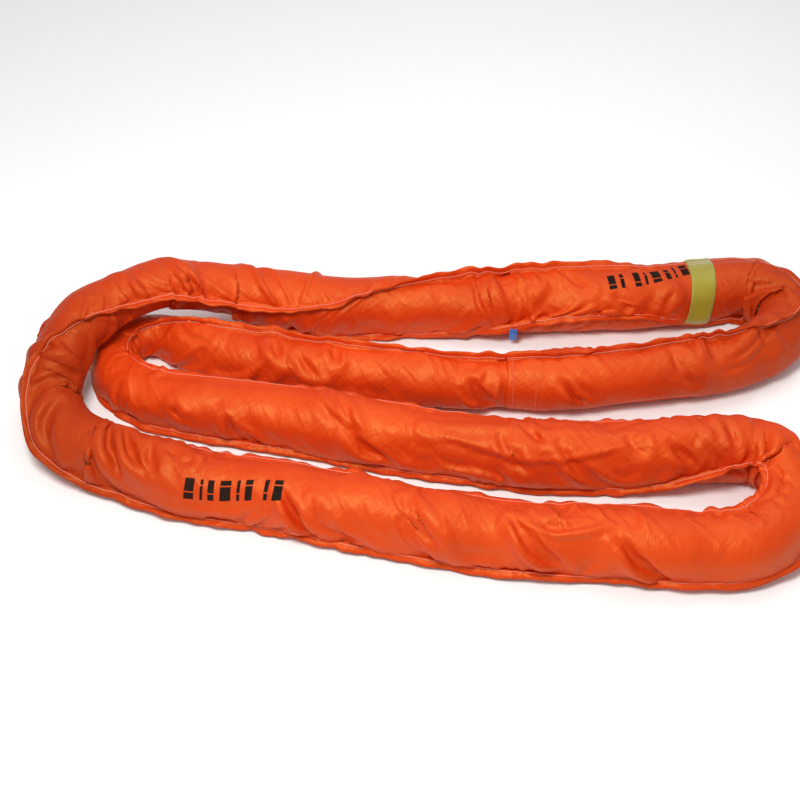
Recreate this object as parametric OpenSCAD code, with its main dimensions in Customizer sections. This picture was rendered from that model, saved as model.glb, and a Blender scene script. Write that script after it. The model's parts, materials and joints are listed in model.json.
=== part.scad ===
// Endless round sling, laid down as one long loop folded into four runs.
// A hank of polyester yarn carries the load. A loose sleeve of two woven panels, sewn together
// along two opposite fins, protects it. +X is the length of the folded sling, +Z is up.

/* [Sleeve] */
// Thickness of the woven panels
cloth_t = 1.2; // [0.8:0.1:1.4]
// Width of the sewn fins that join the two panels
fin_w = 16; // [10:1:17]
// Length of the sewn joint where the sleeve's end lies over its start
overlap_len = 70; // [50:5:90]
// Facets of one panel, from fin to fin
panel_facets = 10; // [9:1:12]

/* [Hank] */
// Room between the yarn hank and the sleeve
hank_gap = 4.5; // [4:0.1:6]
// Number of tape ties round the hank
tie_count = 8; // [4:1:12]
// Width of one tape tie
tie_w = 25; // [15:1:40]
// Thickness of the ties and of the tape over the yarn ends
tape_t = 1; // [0.6:0.1:1.2]
// Length of the tape over the joined yarn ends
yarn_tape_len = 90; // [60:5:120]

/* [Stitching] */
// Width of a sewing thread as it stands on the cloth
thread_w = 1.2; // [0.8:0.1:1.4]
// Distance from the panel to the stitched line, along the fin
stitch_in = 4; // [3:0.5:6]

/* [Label] */
// Width of the identification label
label_w = 50; // [35:1:60]
// Angle round the sling at which the label's free end hangs
label_end_angle = -98; // [-105:1:-60]
// Thickness of the label
label_t = 1; // [0.6:0.1:1.4]

/* [Tag] */
// Width of the small polyester tag
tag_w = 15; // [10:1:25]
// Length that the tag hangs down
tag_len = 26; // [15:1:35]
// Thickness of the tag
tag_t = 0.6; // [0.4:0.1:1]

/* [Hidden] */

// The middle of the sling, followed once round the loop. Each row holds x and y, the height of
// the underside above the floor, half the width, half the height, and the angles round the sling
// of fin one and fin two. Angles start at the top and grow towards the right of travel.
ROUTE = [
    // third run, towards +X
    [ 150,   72,   0, 57, 55,  -6, -132],
    [ 290,   76,   0, 58, 56,  -4, -132],
    [ 420,   88,   0, 60, 57,  -8, -128],
    [ 530,  112,   0, 61, 57, -14, -130],
    // right bend, upper
    [ 620,  150,   0, 60, 57,   0, -134],
    [ 684,  196,   0, 59, 57,  18, -138],
    [ 710,  250,   0, 58, 57,  30, -140],
    [ 696,  300,   0, 57, 57,  38, -140],
    [ 646,  334,   0, 58, 57,  42, -136],
    // fourth run, the far one, towards -X
    [ 540,  322,   0, 60, 57,  42, -124],
    [ 420,  308,   0, 64, 59,  32,  -98],
    [ 290,  300,   0, 67, 60,  22,  -84],
    [ 170,  296,   0, 67, 60,  18,  -92],
    [  40,  291,   0, 63, 59,   8, -116],
    [-100,  286,   0, 60, 58, -16, -136],
    [-230,  284,   6, 60, 56, -46, -140],
    [-345,  284,  34, 59, 52, -64, -162],
    [-440,  276,  72, 57, 48, -70, -192],
    [-525,  250,  94, 56, 46, -70, -206],
    [-600,  202,  98, 56, 46, -62, -206],
    // left bend, outer
    [-656,  142,  90, 56, 49, -42, -194],
    [-690,   76,  58, 57, 54,  -8, -172],
    [-700,   10,  20, 59, 57,  26, -150],
    [-675,  -50,   0, 59, 57,  66, -130],
    [-625,  -96,   0, 59, 57, 100,  -98],
    // first run, the near one, towards +X
    [-550, -130,   0, 58, 57, 118,  -74],
    [-430, -180,   0, 58, 57, 122,  -60],
    [-280, -208,   0, 59, 57, 122,  -58],
    [-130, -248,   0, 59, 57, 122,  -58],
    [  20, -284,   0, 58, 57, 122,  -58],
    [ 170, -308,   0, 59, 57, 122,  -58],
    [ 320, -317,   0, 62, 58, 122,  -56],
    [ 450, -330,   0, 62, 58, 120,  -54],
    // right bend, lower
    [ 545, -324,   0, 60, 58, 116,  -50],
    [ 608, -286,   0, 58, 58, 110,  -48],
    [ 640, -224,   0, 55, 58, 102,  -48],
    [ 638, -160,   0, 54, 58,  94,  -50],
    [ 594, -116,   0, 57, 58,  84,  -58],
    [ 520, -106,   0, 60, 58,  70,  -76],
    // second run, towards -X
    [ 430, -112,   0, 60, 58,  60, -104],
    [ 310, -117,   0, 59, 57,  56, -122],
    [ 180, -112,   0, 60, 57,  55, -126],
    [  30,  -88,   0, 60, 57,  54, -126],
    [-120,  -56,   0, 59, 57,  52, -126],
    [-270,  -20,   0, 58, 56,  46, -126],
    [-410,    8,   0, 57, 54,  36, -126],
    // left bend, inner, pressed flat under the fourth run
    [-505,   38,   0, 56, 48,  28, -126],
    [-566,   78,   0, 53, 43,  28, -128],
    [-598,  122,   0, 50, 42,  33, -130],
    [-598,  176,   0, 48, 42,  38, -132],
    [-566,  212,   0, 48, 42,  36, -132],
    [-514,  214,   0, 50, 43,  20, -132],
    // third run again
    [-430,  170,   0, 55, 49,  -8, -132],
    [-320,  134,   0, 56, 53, -20, -132],
    [-180,  104,   0, 56, 54, -18, -132],
    [ -20,   80,   0, 56, 55, -10, -132]
];
ROWS = len(ROUTE);
FLOOR_PRESS = 5;           // how far the sling's own weight flattens its underside
CLOTH_GAP = 0.6;           // between layers that are sewn together
MIDDLE_LIFT = 3;           // height of a fin's middle where it lies on the floor
SLOPE_STEP = 0.05;         // half the stretch of route that gives its direction
HANK_SIDES = 12;
LAYER = cloth_t + CLOTH_GAP;
JOINT_ROW_LEN = 140;       // length of the route row that holds the sleeve joint
JOINT_ROWS = overlap_len / JOINT_ROW_LEN;
TUCK_END = 0.9;            // share of the joint at which the tucked end stops
// places counted in route rows
TIE_FROM = 2.25;
TIE_STEP = ROWS / tie_count;
YARN_TAPE_ROW = TIE_FROM + (floor(tie_count / 2) - 0.5) * TIE_STEP;
LABEL_ROW = 8.86;
TAG_ROW = 12;

// ---- the route as a smooth closed curve ----
function row(i) = ROUTE[(i % ROWS + ROWS) % ROWS];
function blend(a, b, c, d, t) =
    (2 * b + (c - a) * t + (2 * a - 5 * b + 4 * c - d) * t * t + (3 * b - a - 3 * c + d) * t * t * t) / 2;
function at(u) = let (i = floor(u)) blend(row(i - 1), row(i), row(i + 1), row(i + 2), u - i);
function middle_z(u) = let (r = at(u)) r[2] + r[4] - FLOOR_PRESS;
function side_of(u) =
    let (a = at(u - SLOPE_STEP), b = at(u + SLOPE_STEP), d = [b[1] - a[1], a[0] - b[0]])
    d / norm(d);
// millimetres from one route row to the next, near u
function row_len(u) = let (a = at(u - 0.5), b = at(u + 0.5)) norm([b[0] - a[0], b[1] - a[1]]);
// a place in the section at u, `s` to the side of the middle and at height z
function place(u, s, z) = let (r = at(u), d = side_of(u)) [r[0] + d[0] * s, r[1] + d[1] * s, z];
// section coordinates [side, height] of a point at an angle, `depth` under the sleeve's face
function skin(u, angle, depth) =
    let (r = at(u))
    [(r[3] - depth) * sin(angle), max(middle_z(u) + (r[4] - depth) * cos(angle), depth, 0)];
function ramp(x) = let (t = min(max(x, 0), 1)) t * t * (3 - 2 * t);
// the sleeve's end is tucked in, and its start opens to go over the tucked end
function tuck(u) = LAYER * ramp((u - ROWS + JOINT_ROWS) / JOINT_ROWS);
function opening(u) = u < ROWS / 2 ? LAYER * ramp(2 - u / JOINT_ROWS) : 0;

// ---- fins ----
// direction of a fin in the section: straight out, or bent along the floor
function fin_dir(angle, root_z) =
    let (up = min(max(cos(angle), (MIDDLE_LIFT - root_z) / fin_w), 1))
    [sign(sin(angle)) * sqrt(1 - up * up), up];
// a point on the fin, `out` from the sleeve and `off` from the fin's middle
function on_fin(u, angle, out, off, depth = 0) =
    let (root = skin(u, angle, depth), d = fin_dir(angle, root[1]))
    root + d * out + [d[1], -d[0]] * off;
// section of one panel between two fins: the outer face, then the inner face back
function panel_section(u, from, to) =
    let (
        deep = tuck(u),
        near = CLOTH_GAP / 2 + opening(u),
        far = near + cloth_t,
        step = (to - from) / panel_facets,
        inner = [for (k = [1 : panel_facets - 1]) skin(u, to - k * step, deep + cloth_t)]
    )
    concat(
        [on_fin(u, from, fin_w, far, deep), on_fin(u, from, 0, far, deep)],
        [for (k = [1 : panel_facets - 1]) skin(u, from + k * step, deep)],
        [on_fin(u, to, 0, -far, deep), on_fin(u, to, fin_w, -far, deep)],
        [on_fin(u, to, fin_w, -near, deep), on_fin(u, to, 0, -near, deep + cloth_t)],
        inner,
        [on_fin(u, from, 0, near, deep + cloth_t), on_fin(u, from, fin_w, near, deep)]
    );

// ---- sweeping a section along the route ----
// The two faces of a thin section split their quads along the same diagonal, so that layers
// which lie on each other never cross. `flip` changes which diagonal that is.
function quad(a, b, c, d, first) = first ? [[a, c, b], [a, d, c]] : [[a, d, b], [b, d, c]];
function sweep_faces(rings, n, closed, flip) = [
    for (i = [0 : rings - (closed ? 1 : 2)], k = [0 : n - 1])
        let (a = i * n, b = (i + 1) % rings * n, next = (k + 1) % n)
        each quad(a + k, a + next, b + next, b + k, (k < n / 2) != flip)
];
function cap(start, n) = [for (k = [0 : n / 2 - 2])
    [start + k, start + k + 1, start + n - 2 - k, start + n - 1 - k]];
function reversed(list) = [for (k = [len(list) - 1 : -1 : 0]) list[k]];

module loft(rings, closed = false, flip = false) {
    n = len(rings[0]);
    last = cap((len(rings) - 1) * n, n);
    ends = closed ? [] : concat(cap(0, n), [for (f = last) reversed(f)]);
    polyhedron([for (r = rings) each r], concat(sweep_faces(len(rings), n, closed, flip), ends),
        convexity = 12);
}
module sweep(us, sections, closed = false, flip = false) {
    loft([for (i = [0 : len(us) - 1]) [for (p = sections[i]) place(us[i], p[0], p[1])]],
        closed, flip);
}

// places along the route: two rings to a route row
LOOP = [for (k = [0 : 2 * ROWS - 1]) k / 2];
SLEEVE = concat([0, JOINT_ROWS], [for (k = [2 : 2 * ROWS - 1]) k / 2],
    [ROWS, ROWS + JOINT_ROWS * TUCK_END]);

function fin_one(u) = at(u)[5];
function fin_two(u) = at(u)[6];

// ---- yarn hank ----
TAPE_CLEAR = 0.4;  // between the hank and the tapes round it
function hank_depth(u) = cloth_t + hank_gap
    + LAYER * (1 - ramp(min(abs(u), abs(u - ROWS)) / JOINT_ROWS - 1));
function hank_ring(u, proud) = [
    for (k = [0 : HANK_SIDES - 1])
        let (p = skin(u, (k + 0.5) * 360 / HANK_SIDES, hank_depth(u) - proud))
        place(u, p[0], p[1])
];
// a ring on the straight facets between two of the hank's own rings
function hank_between(u, proud) =
    let (a = floor(2 * u) / 2, t = 2 * (u - a))
    hank_ring(a, proud) * (1 - t) + hank_ring(a + 0.5, proud) * t;
module hank_length(from, to, proud) {
    inside = [for (k = [floor(2 * from) + 1 : ceil(2 * to) - 1]) k / 2];
    loft([for (u = concat(from, inside, to)) hank_between(u, proud)]);
}
// a band of tape, a thin shell round the hank
module hank_band(row_at, length) {
    half = length / 2 / row_len(row_at);
    difference() {
        hank_length(row_at - half, row_at + half, TAPE_CLEAR + tape_t);
        hank_length(row_at - 1.5 * half, row_at + 1.5 * half, TAPE_CLEAR);
    }
}

module core_hank() {
    color("ivory") loft([for (u = LOOP) hank_ring(u, 0)], closed = true);
}
module hank_ties() {
    color("gainsboro") for (k = [0 : tie_count - 1])
        hank_band(TIE_FROM + k * TIE_STEP, tie_w);
}
module yarn_end_tape() {
    color("khaki") hank_band(YARN_TAPE_ROW, yarn_tape_len);
}

// ---- sleeve ----
module marked_sleeve_panel() {
    color("orangered")
        sweep(SLEEVE, [for (u = SLEEVE) panel_section(u, fin_two(u), fin_one(u))]);
}
module plain_sleeve_panel() {
    color("tomato")
        sweep(SLEEVE, [for (u = SLEEVE) panel_section(u, fin_one(u), fin_two(u) + 360)],
            flip = true);
}

// ---- seams: one thread on each face of a fin ----
THREAD_SINK = 0.3;  // how far a thread sinks into the cloth
THREAD_FROM = CLOTH_GAP / 2 + cloth_t - THREAD_SINK;
function thread_section(u, angle, face) =
    let (low = THREAD_FROM + opening(u), high = low + thread_w)
    [for (p = [[0, low], [thread_w, low], [thread_w, high], [0, high]])
        on_fin(u, angle, stitch_in + p[0] * face, p[1] * face)];
module seam_thread(which, face) {
    us = LOOP;
    color("lightsalmon")
        sweep(us, [for (u = us) thread_section(u, at(u)[which], face)], closed = true);
}
module seam_one_needle_thread() { seam_thread(5, -1); }
module seam_one_bobbin_thread() { seam_thread(5, 1); }
module seam_two_needle_thread() { seam_thread(6, -1); }
module seam_two_bobbin_thread() { seam_thread(6, 1); }

// two rows of stitches round each panel, where the sleeve's ends overlap
JOINT_STITCHES = [0.15, 0.75];  // shares of the joint's length
JOINT_FREE = 8;                 // degrees with no stitches beside each fin
JOINT_UNDER = 0.4;              // the stitches' underside, below the sleeve's face
JOINT_PROUD = 0.8;              // and how far they stand above it
module sleeve_joint_stitching() {
    color("lightsalmon") for (share = JOINT_STITCHES)
        for (span = [[fin_two(0), fin_one(0)], [fin_one(0), fin_two(0) + 360]])
            around(share * JOINT_ROWS, thread_w, span[0] + JOINT_FREE, span[1] - JOINT_FREE,
                JOINT_UNDER, -JOINT_PROUD);
}
// a strip that follows the sleeve from one angle to another, `width` along the route
function strip_section(u, from, to, under, over, steps) = concat(
    [for (k = [0 : steps]) skin(u, from + (to - from) * k / steps, over)],
    [for (k = [steps : -1 : 0]) skin(u, from + (to - from) * k / steps, under)]
);
module around(u, width, from, to, under, over) {
    half = width / 2 / row_len(u);
    us = [u - half, u + half];
    sweep(us, [for (v = us) strip_section(v, from, to, under, over, panel_facets)]);
}

// ---- label: from the tip of fin one, down the fin and round the sling's near side ----
LABEL_CLEAR = 0.5;        // between the label and what it lies on
LABEL_SLACK = 0.9;        // more room where it goes round the sleeve
LABEL_FOLD_OUT = 4;       // distance from the sleeve at which it leaves the fin
LABEL_FOLD_ANGLE = 9;     // degrees from the fin at which it meets the sleeve
LABEL_STEPS = 8;
LABEL_STITCH_IN = 4;      // distance of its stitches from the fin's tip
LABEL_STITCH_SPAN = 0.46; // half the stitched length, as a share of the label's width
LABEL_STITCH_SINK = 0.2;
LABEL_FROM = THREAD_FROM + thread_w + LABEL_CLEAR;
LABEL_ROWS = label_w / row_len(LABEL_ROW);
LABEL_US = [for (k = [-0.5, 0, 0.5]) LABEL_ROW + k * LABEL_ROWS];
function label_face(u, off) =
    let (from = fin_one(u) - LABEL_FOLD_ANGLE, step = (label_end_angle - from) / LABEL_STEPS)
    concat(
        [on_fin(u, fin_one(u), fin_w, -LABEL_FROM - off)],
        [on_fin(u, fin_one(u), LABEL_FOLD_OUT + off, -LABEL_FROM - off)],
        [for (k = [0 : LABEL_STEPS]) skin(u, from + k * step, -LABEL_CLEAR - LABEL_SLACK - off)]
    );
function label_section(u) = concat(reversed(label_face(u, label_t)), label_face(u, 0));
module id_label() {
    color([0.80, 0.78, 0.15]) sweep(LABEL_US, [for (u = LABEL_US) label_section(u)]);
}
function label_stitch_section(u) =
    let (low = LABEL_FROM + label_t - LABEL_STITCH_SINK, high = low + thread_w)
    [for (p = [[0, low], [thread_w, low], [thread_w, high], [0, high]])
        on_fin(u, fin_one(u), fin_w - LABEL_STITCH_IN - p[0], -p[1])];
module id_label_stitching() {
    us = [for (k = [-1, 0, 1]) LABEL_ROW + k * LABEL_STITCH_SPAN * LABEL_ROWS];
    color("white") sweep(us, [for (u = us) label_stitch_section(u)]);
}

// ---- tag: hangs straight down from the tip of fin two ----
TAG_CLEAR = 0.6;              // between the fin's tip and the tag
TAG_TOP = 4;                  // how far the tag reaches above the fin
TAG_STITCHES = [1.5, -1.5];   // heights of its two rows of stitches
TAG_STITCH_SHORT = 3;         // how much shorter they are than the tag is wide
TAG_STITCH_HALF = 0.4;
TAG_STITCH_T = 0.6;
TAG_STITCH_SINK = 0.1;
module tag_plate(width, from_z, to_z, out, thick) {
    half = width / 2 / row_len(TAG_ROW);
    us = [TAG_ROW - half, TAG_ROW + half];
    tip = on_fin(TAG_ROW, fin_two(TAG_ROW), fin_w, 0);
    s = tip[0] - out;
    corners = [[s, tip[1] + to_z], [s - thick, tip[1] + to_z],
        [s - thick, tip[1] + from_z], [s, tip[1] + from_z]];
    sweep(us, [for (u = us) corners]);
}
module blue_tag() {
    color("royalblue") tag_plate(tag_w, TAG_TOP, -tag_len, TAG_CLEAR, tag_t);
}
module blue_tag_stitching() {
    color("white") for (z = TAG_STITCHES)
        tag_plate(tag_w - TAG_STITCH_SHORT, z + TAG_STITCH_HALF, z - TAG_STITCH_HALF,
            TAG_CLEAR + tag_t - TAG_STITCH_SINK, TAG_STITCH_T);
}

core_hank();
hank_ties();
yarn_end_tape();
marked_sleeve_panel();
plain_sleeve_panel();
seam_one_needle_thread();
seam_one_bobbin_thread();
seam_two_needle_thread();
seam_two_bobbin_thread();
sleeve_joint_stitching();
id_label();
id_label_stitching();
blue_tag();
blue_tag_stitching();
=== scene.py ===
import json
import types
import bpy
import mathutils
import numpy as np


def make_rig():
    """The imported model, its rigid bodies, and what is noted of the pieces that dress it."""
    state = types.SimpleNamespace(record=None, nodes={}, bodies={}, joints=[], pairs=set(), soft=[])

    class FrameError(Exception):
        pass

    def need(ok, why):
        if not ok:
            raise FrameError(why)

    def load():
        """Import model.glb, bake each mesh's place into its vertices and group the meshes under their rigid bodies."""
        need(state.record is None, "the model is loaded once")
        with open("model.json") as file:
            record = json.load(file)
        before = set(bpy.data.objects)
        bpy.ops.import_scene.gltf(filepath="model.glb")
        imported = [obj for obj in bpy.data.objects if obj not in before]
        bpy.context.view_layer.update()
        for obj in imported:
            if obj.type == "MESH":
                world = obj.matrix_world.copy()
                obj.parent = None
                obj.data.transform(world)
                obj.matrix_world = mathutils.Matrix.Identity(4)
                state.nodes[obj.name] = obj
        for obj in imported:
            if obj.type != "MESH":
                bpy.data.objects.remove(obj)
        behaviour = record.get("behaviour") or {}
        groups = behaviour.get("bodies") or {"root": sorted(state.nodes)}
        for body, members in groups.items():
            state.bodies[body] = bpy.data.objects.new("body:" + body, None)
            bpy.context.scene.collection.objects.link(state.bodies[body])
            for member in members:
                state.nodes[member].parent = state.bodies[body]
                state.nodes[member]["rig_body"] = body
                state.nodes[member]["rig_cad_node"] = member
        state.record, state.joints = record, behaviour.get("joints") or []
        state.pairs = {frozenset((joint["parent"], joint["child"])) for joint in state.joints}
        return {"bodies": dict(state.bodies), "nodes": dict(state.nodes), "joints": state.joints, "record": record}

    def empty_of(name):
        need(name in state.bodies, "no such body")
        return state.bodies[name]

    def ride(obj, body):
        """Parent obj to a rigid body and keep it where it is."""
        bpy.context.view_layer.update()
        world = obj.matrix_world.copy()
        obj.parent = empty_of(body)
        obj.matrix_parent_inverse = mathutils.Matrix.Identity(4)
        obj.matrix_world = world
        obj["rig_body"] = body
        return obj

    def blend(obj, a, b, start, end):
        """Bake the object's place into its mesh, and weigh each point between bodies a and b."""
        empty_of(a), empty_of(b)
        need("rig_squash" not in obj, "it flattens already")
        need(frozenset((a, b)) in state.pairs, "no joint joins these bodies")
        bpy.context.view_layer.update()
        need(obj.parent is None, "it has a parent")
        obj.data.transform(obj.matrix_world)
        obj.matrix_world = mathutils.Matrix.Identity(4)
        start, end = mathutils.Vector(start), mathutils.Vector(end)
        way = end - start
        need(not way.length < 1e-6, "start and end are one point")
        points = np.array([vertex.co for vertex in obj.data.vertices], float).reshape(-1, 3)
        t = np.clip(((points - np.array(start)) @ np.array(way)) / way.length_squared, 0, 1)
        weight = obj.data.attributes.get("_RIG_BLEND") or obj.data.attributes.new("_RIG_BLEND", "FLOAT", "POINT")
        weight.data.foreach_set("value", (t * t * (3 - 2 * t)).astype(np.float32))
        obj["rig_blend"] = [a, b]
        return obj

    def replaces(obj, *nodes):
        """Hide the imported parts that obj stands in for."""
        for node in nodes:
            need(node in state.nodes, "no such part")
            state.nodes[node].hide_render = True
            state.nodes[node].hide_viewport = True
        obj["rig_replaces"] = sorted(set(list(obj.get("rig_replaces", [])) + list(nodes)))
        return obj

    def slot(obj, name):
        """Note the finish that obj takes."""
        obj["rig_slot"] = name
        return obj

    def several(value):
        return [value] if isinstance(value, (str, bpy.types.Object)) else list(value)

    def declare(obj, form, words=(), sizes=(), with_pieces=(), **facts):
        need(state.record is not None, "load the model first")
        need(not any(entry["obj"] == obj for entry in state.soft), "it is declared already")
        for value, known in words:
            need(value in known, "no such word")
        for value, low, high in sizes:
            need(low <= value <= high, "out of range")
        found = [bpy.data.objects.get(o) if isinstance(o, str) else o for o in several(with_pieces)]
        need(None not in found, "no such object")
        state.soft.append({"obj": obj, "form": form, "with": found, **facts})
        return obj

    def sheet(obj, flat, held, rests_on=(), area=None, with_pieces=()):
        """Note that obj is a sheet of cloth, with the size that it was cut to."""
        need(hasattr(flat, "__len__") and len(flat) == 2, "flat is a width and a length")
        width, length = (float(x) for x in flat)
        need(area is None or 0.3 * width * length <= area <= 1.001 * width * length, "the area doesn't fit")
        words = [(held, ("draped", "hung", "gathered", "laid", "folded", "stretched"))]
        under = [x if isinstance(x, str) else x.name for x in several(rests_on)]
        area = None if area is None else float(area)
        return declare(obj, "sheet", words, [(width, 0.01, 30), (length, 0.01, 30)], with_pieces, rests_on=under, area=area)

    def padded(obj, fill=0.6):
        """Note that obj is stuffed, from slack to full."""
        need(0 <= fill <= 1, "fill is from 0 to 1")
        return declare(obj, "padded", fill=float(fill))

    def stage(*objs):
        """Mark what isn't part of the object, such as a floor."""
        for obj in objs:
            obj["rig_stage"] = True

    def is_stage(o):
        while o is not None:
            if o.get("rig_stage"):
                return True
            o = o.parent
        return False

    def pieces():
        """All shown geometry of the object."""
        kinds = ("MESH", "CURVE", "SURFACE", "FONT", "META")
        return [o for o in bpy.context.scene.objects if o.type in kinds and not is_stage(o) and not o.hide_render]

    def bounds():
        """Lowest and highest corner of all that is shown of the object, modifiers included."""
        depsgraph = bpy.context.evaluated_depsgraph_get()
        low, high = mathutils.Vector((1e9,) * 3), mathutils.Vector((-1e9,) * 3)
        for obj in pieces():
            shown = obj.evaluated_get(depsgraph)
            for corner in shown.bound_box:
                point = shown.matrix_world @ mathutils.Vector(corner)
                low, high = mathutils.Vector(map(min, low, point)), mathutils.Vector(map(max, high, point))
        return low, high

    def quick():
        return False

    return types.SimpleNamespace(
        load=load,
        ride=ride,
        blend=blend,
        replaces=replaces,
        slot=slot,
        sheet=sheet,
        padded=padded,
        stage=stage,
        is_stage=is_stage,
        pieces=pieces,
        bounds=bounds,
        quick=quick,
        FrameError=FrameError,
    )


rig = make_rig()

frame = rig.load()

import functools
import json
import math

import bpy
import numpy as np
from mathutils import Vector, kdtree

CAD_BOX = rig.bounds()
SIZE_FILE = "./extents.json"

# ---- the sling's route, the same one as in the CAD source, in millimetres and degrees ----
# x, y, height of the underside, half width, half height, angles of fin one and fin two
ROUTE = np.array([
    (150, 72, 0, 57, 55, -6, -132), (290, 76, 0, 58, 56, -4, -132),
    (420, 88, 0, 60, 57, -8, -128), (530, 112, 0, 61, 57, -14, -130),
    (620, 150, 0, 60, 57, 0, -134), (684, 196, 0, 59, 57, 18, -138),
    (710, 250, 0, 58, 57, 30, -140), (696, 300, 0, 57, 57, 38, -140),
    (646, 334, 0, 58, 57, 42, -136), (540, 322, 0, 60, 57, 42, -124),
    (420, 308, 0, 64, 59, 32, -98), (290, 300, 0, 67, 60, 22, -84),
    (170, 296, 0, 67, 60, 18, -92), (40, 291, 0, 63, 59, 8, -116),
    (-100, 286, 0, 60, 58, -16, -136), (-230, 284, 6, 60, 56, -46, -140),
    (-345, 284, 34, 59, 52, -64, -162), (-440, 276, 72, 57, 48, -70, -192),
    (-525, 250, 94, 56, 46, -70, -206), (-600, 202, 98, 56, 46, -62, -206),
    (-656, 142, 90, 56, 49, -42, -194), (-690, 76, 58, 57, 54, -8, -172),
    (-700, 10, 20, 59, 57, 26, -150), (-675, -50, 0, 59, 57, 66, -130),
    (-625, -96, 0, 59, 57, 100, -98), (-550, -130, 0, 58, 57, 118, -74),
    (-430, -180, 0, 58, 57, 122, -60), (-280, -208, 0, 59, 57, 122, -58),
    (-130, -248, 0, 59, 57, 122, -58), (20, -284, 0, 58, 57, 122, -58),
    (170, -308, 0, 59, 57, 122, -58), (320, -317, 0, 62, 58, 122, -56),
    (450, -330, 0, 62, 58, 120, -54), (545, -324, 0, 60, 58, 116, -50),
    (608, -286, 0, 58, 58, 110, -48), (640, -224, 0, 55, 58, 102, -48),
    (638, -160, 0, 54, 58, 94, -50), (594, -116, 0, 57, 58, 84, -58),
    (520, -106, 0, 60, 58, 70, -76), (430, -112, 0, 60, 58, 60, -104),
    (310, -117, 0, 59, 57, 56, -122), (180, -112, 0, 60, 57, 55, -126),
    (30, -88, 0, 60, 57, 54, -126), (-120, -56, 0, 59, 57, 52, -126),
    (-270, -20, 0, 58, 56, 46, -126), (-410, 8, 0, 57, 54, 36, -126),
    (-505, 38, 0, 56, 48, 28, -126), (-566, 78, 0, 53, 43, 28, -128),
    (-598, 122, 0, 50, 42, 33, -130), (-598, 176, 0, 48, 42, 38, -132),
    (-566, 212, 0, 48, 42, 36, -132), (-514, 214, 0, 50, 43, 20, -132),
    (-430, 170, 0, 55, 49, -8, -132), (-320, 134, 0, 56, 53, -20, -132),
    (-180, 104, 0, 56, 54, -18, -132), (-20, 80, 0, 56, 55, -10, -132),
]) / (1000, 1000, 1000, 1000, 1000, 1, 1)
ROUTE_ROWS = len(ROUTE)
FLOOR_PRESS = 0.005
FIN_W = 0.016
MIDDLE_LIFT = 0.003
OVERLAP_LEN = 0.070
LABEL_ROW = 8.84
LABEL_W = 0.050
LABEL_END = math.radians(-104)
TAG_ROW = 12
TAG_CALM = 0.35       # the fin lies flat this many route rows to each side of its tag

# how far each fin lies over to one side of its own plane: route row, degrees
FIN_ONE_LIES = [(0, 0), (5, 10), (7, 55), (8, 70), (10, 68), (11.2, 15), (13, 0), (14, -30), (18, -40),
                (20, 0), (22, 30), (24, 10), (26, 0), (36, 0), (38, 50), (39, 70), (45, 70), (47, 30),
                (49, 0)]
FIN_TWO_LIES = [(0, 0), (7, 0), (9, -45), (12, -62), (13, -50), (15, 0), (23, 0), (25, -60), (33, -66),
                (36, -35), (38, 0)]

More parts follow.
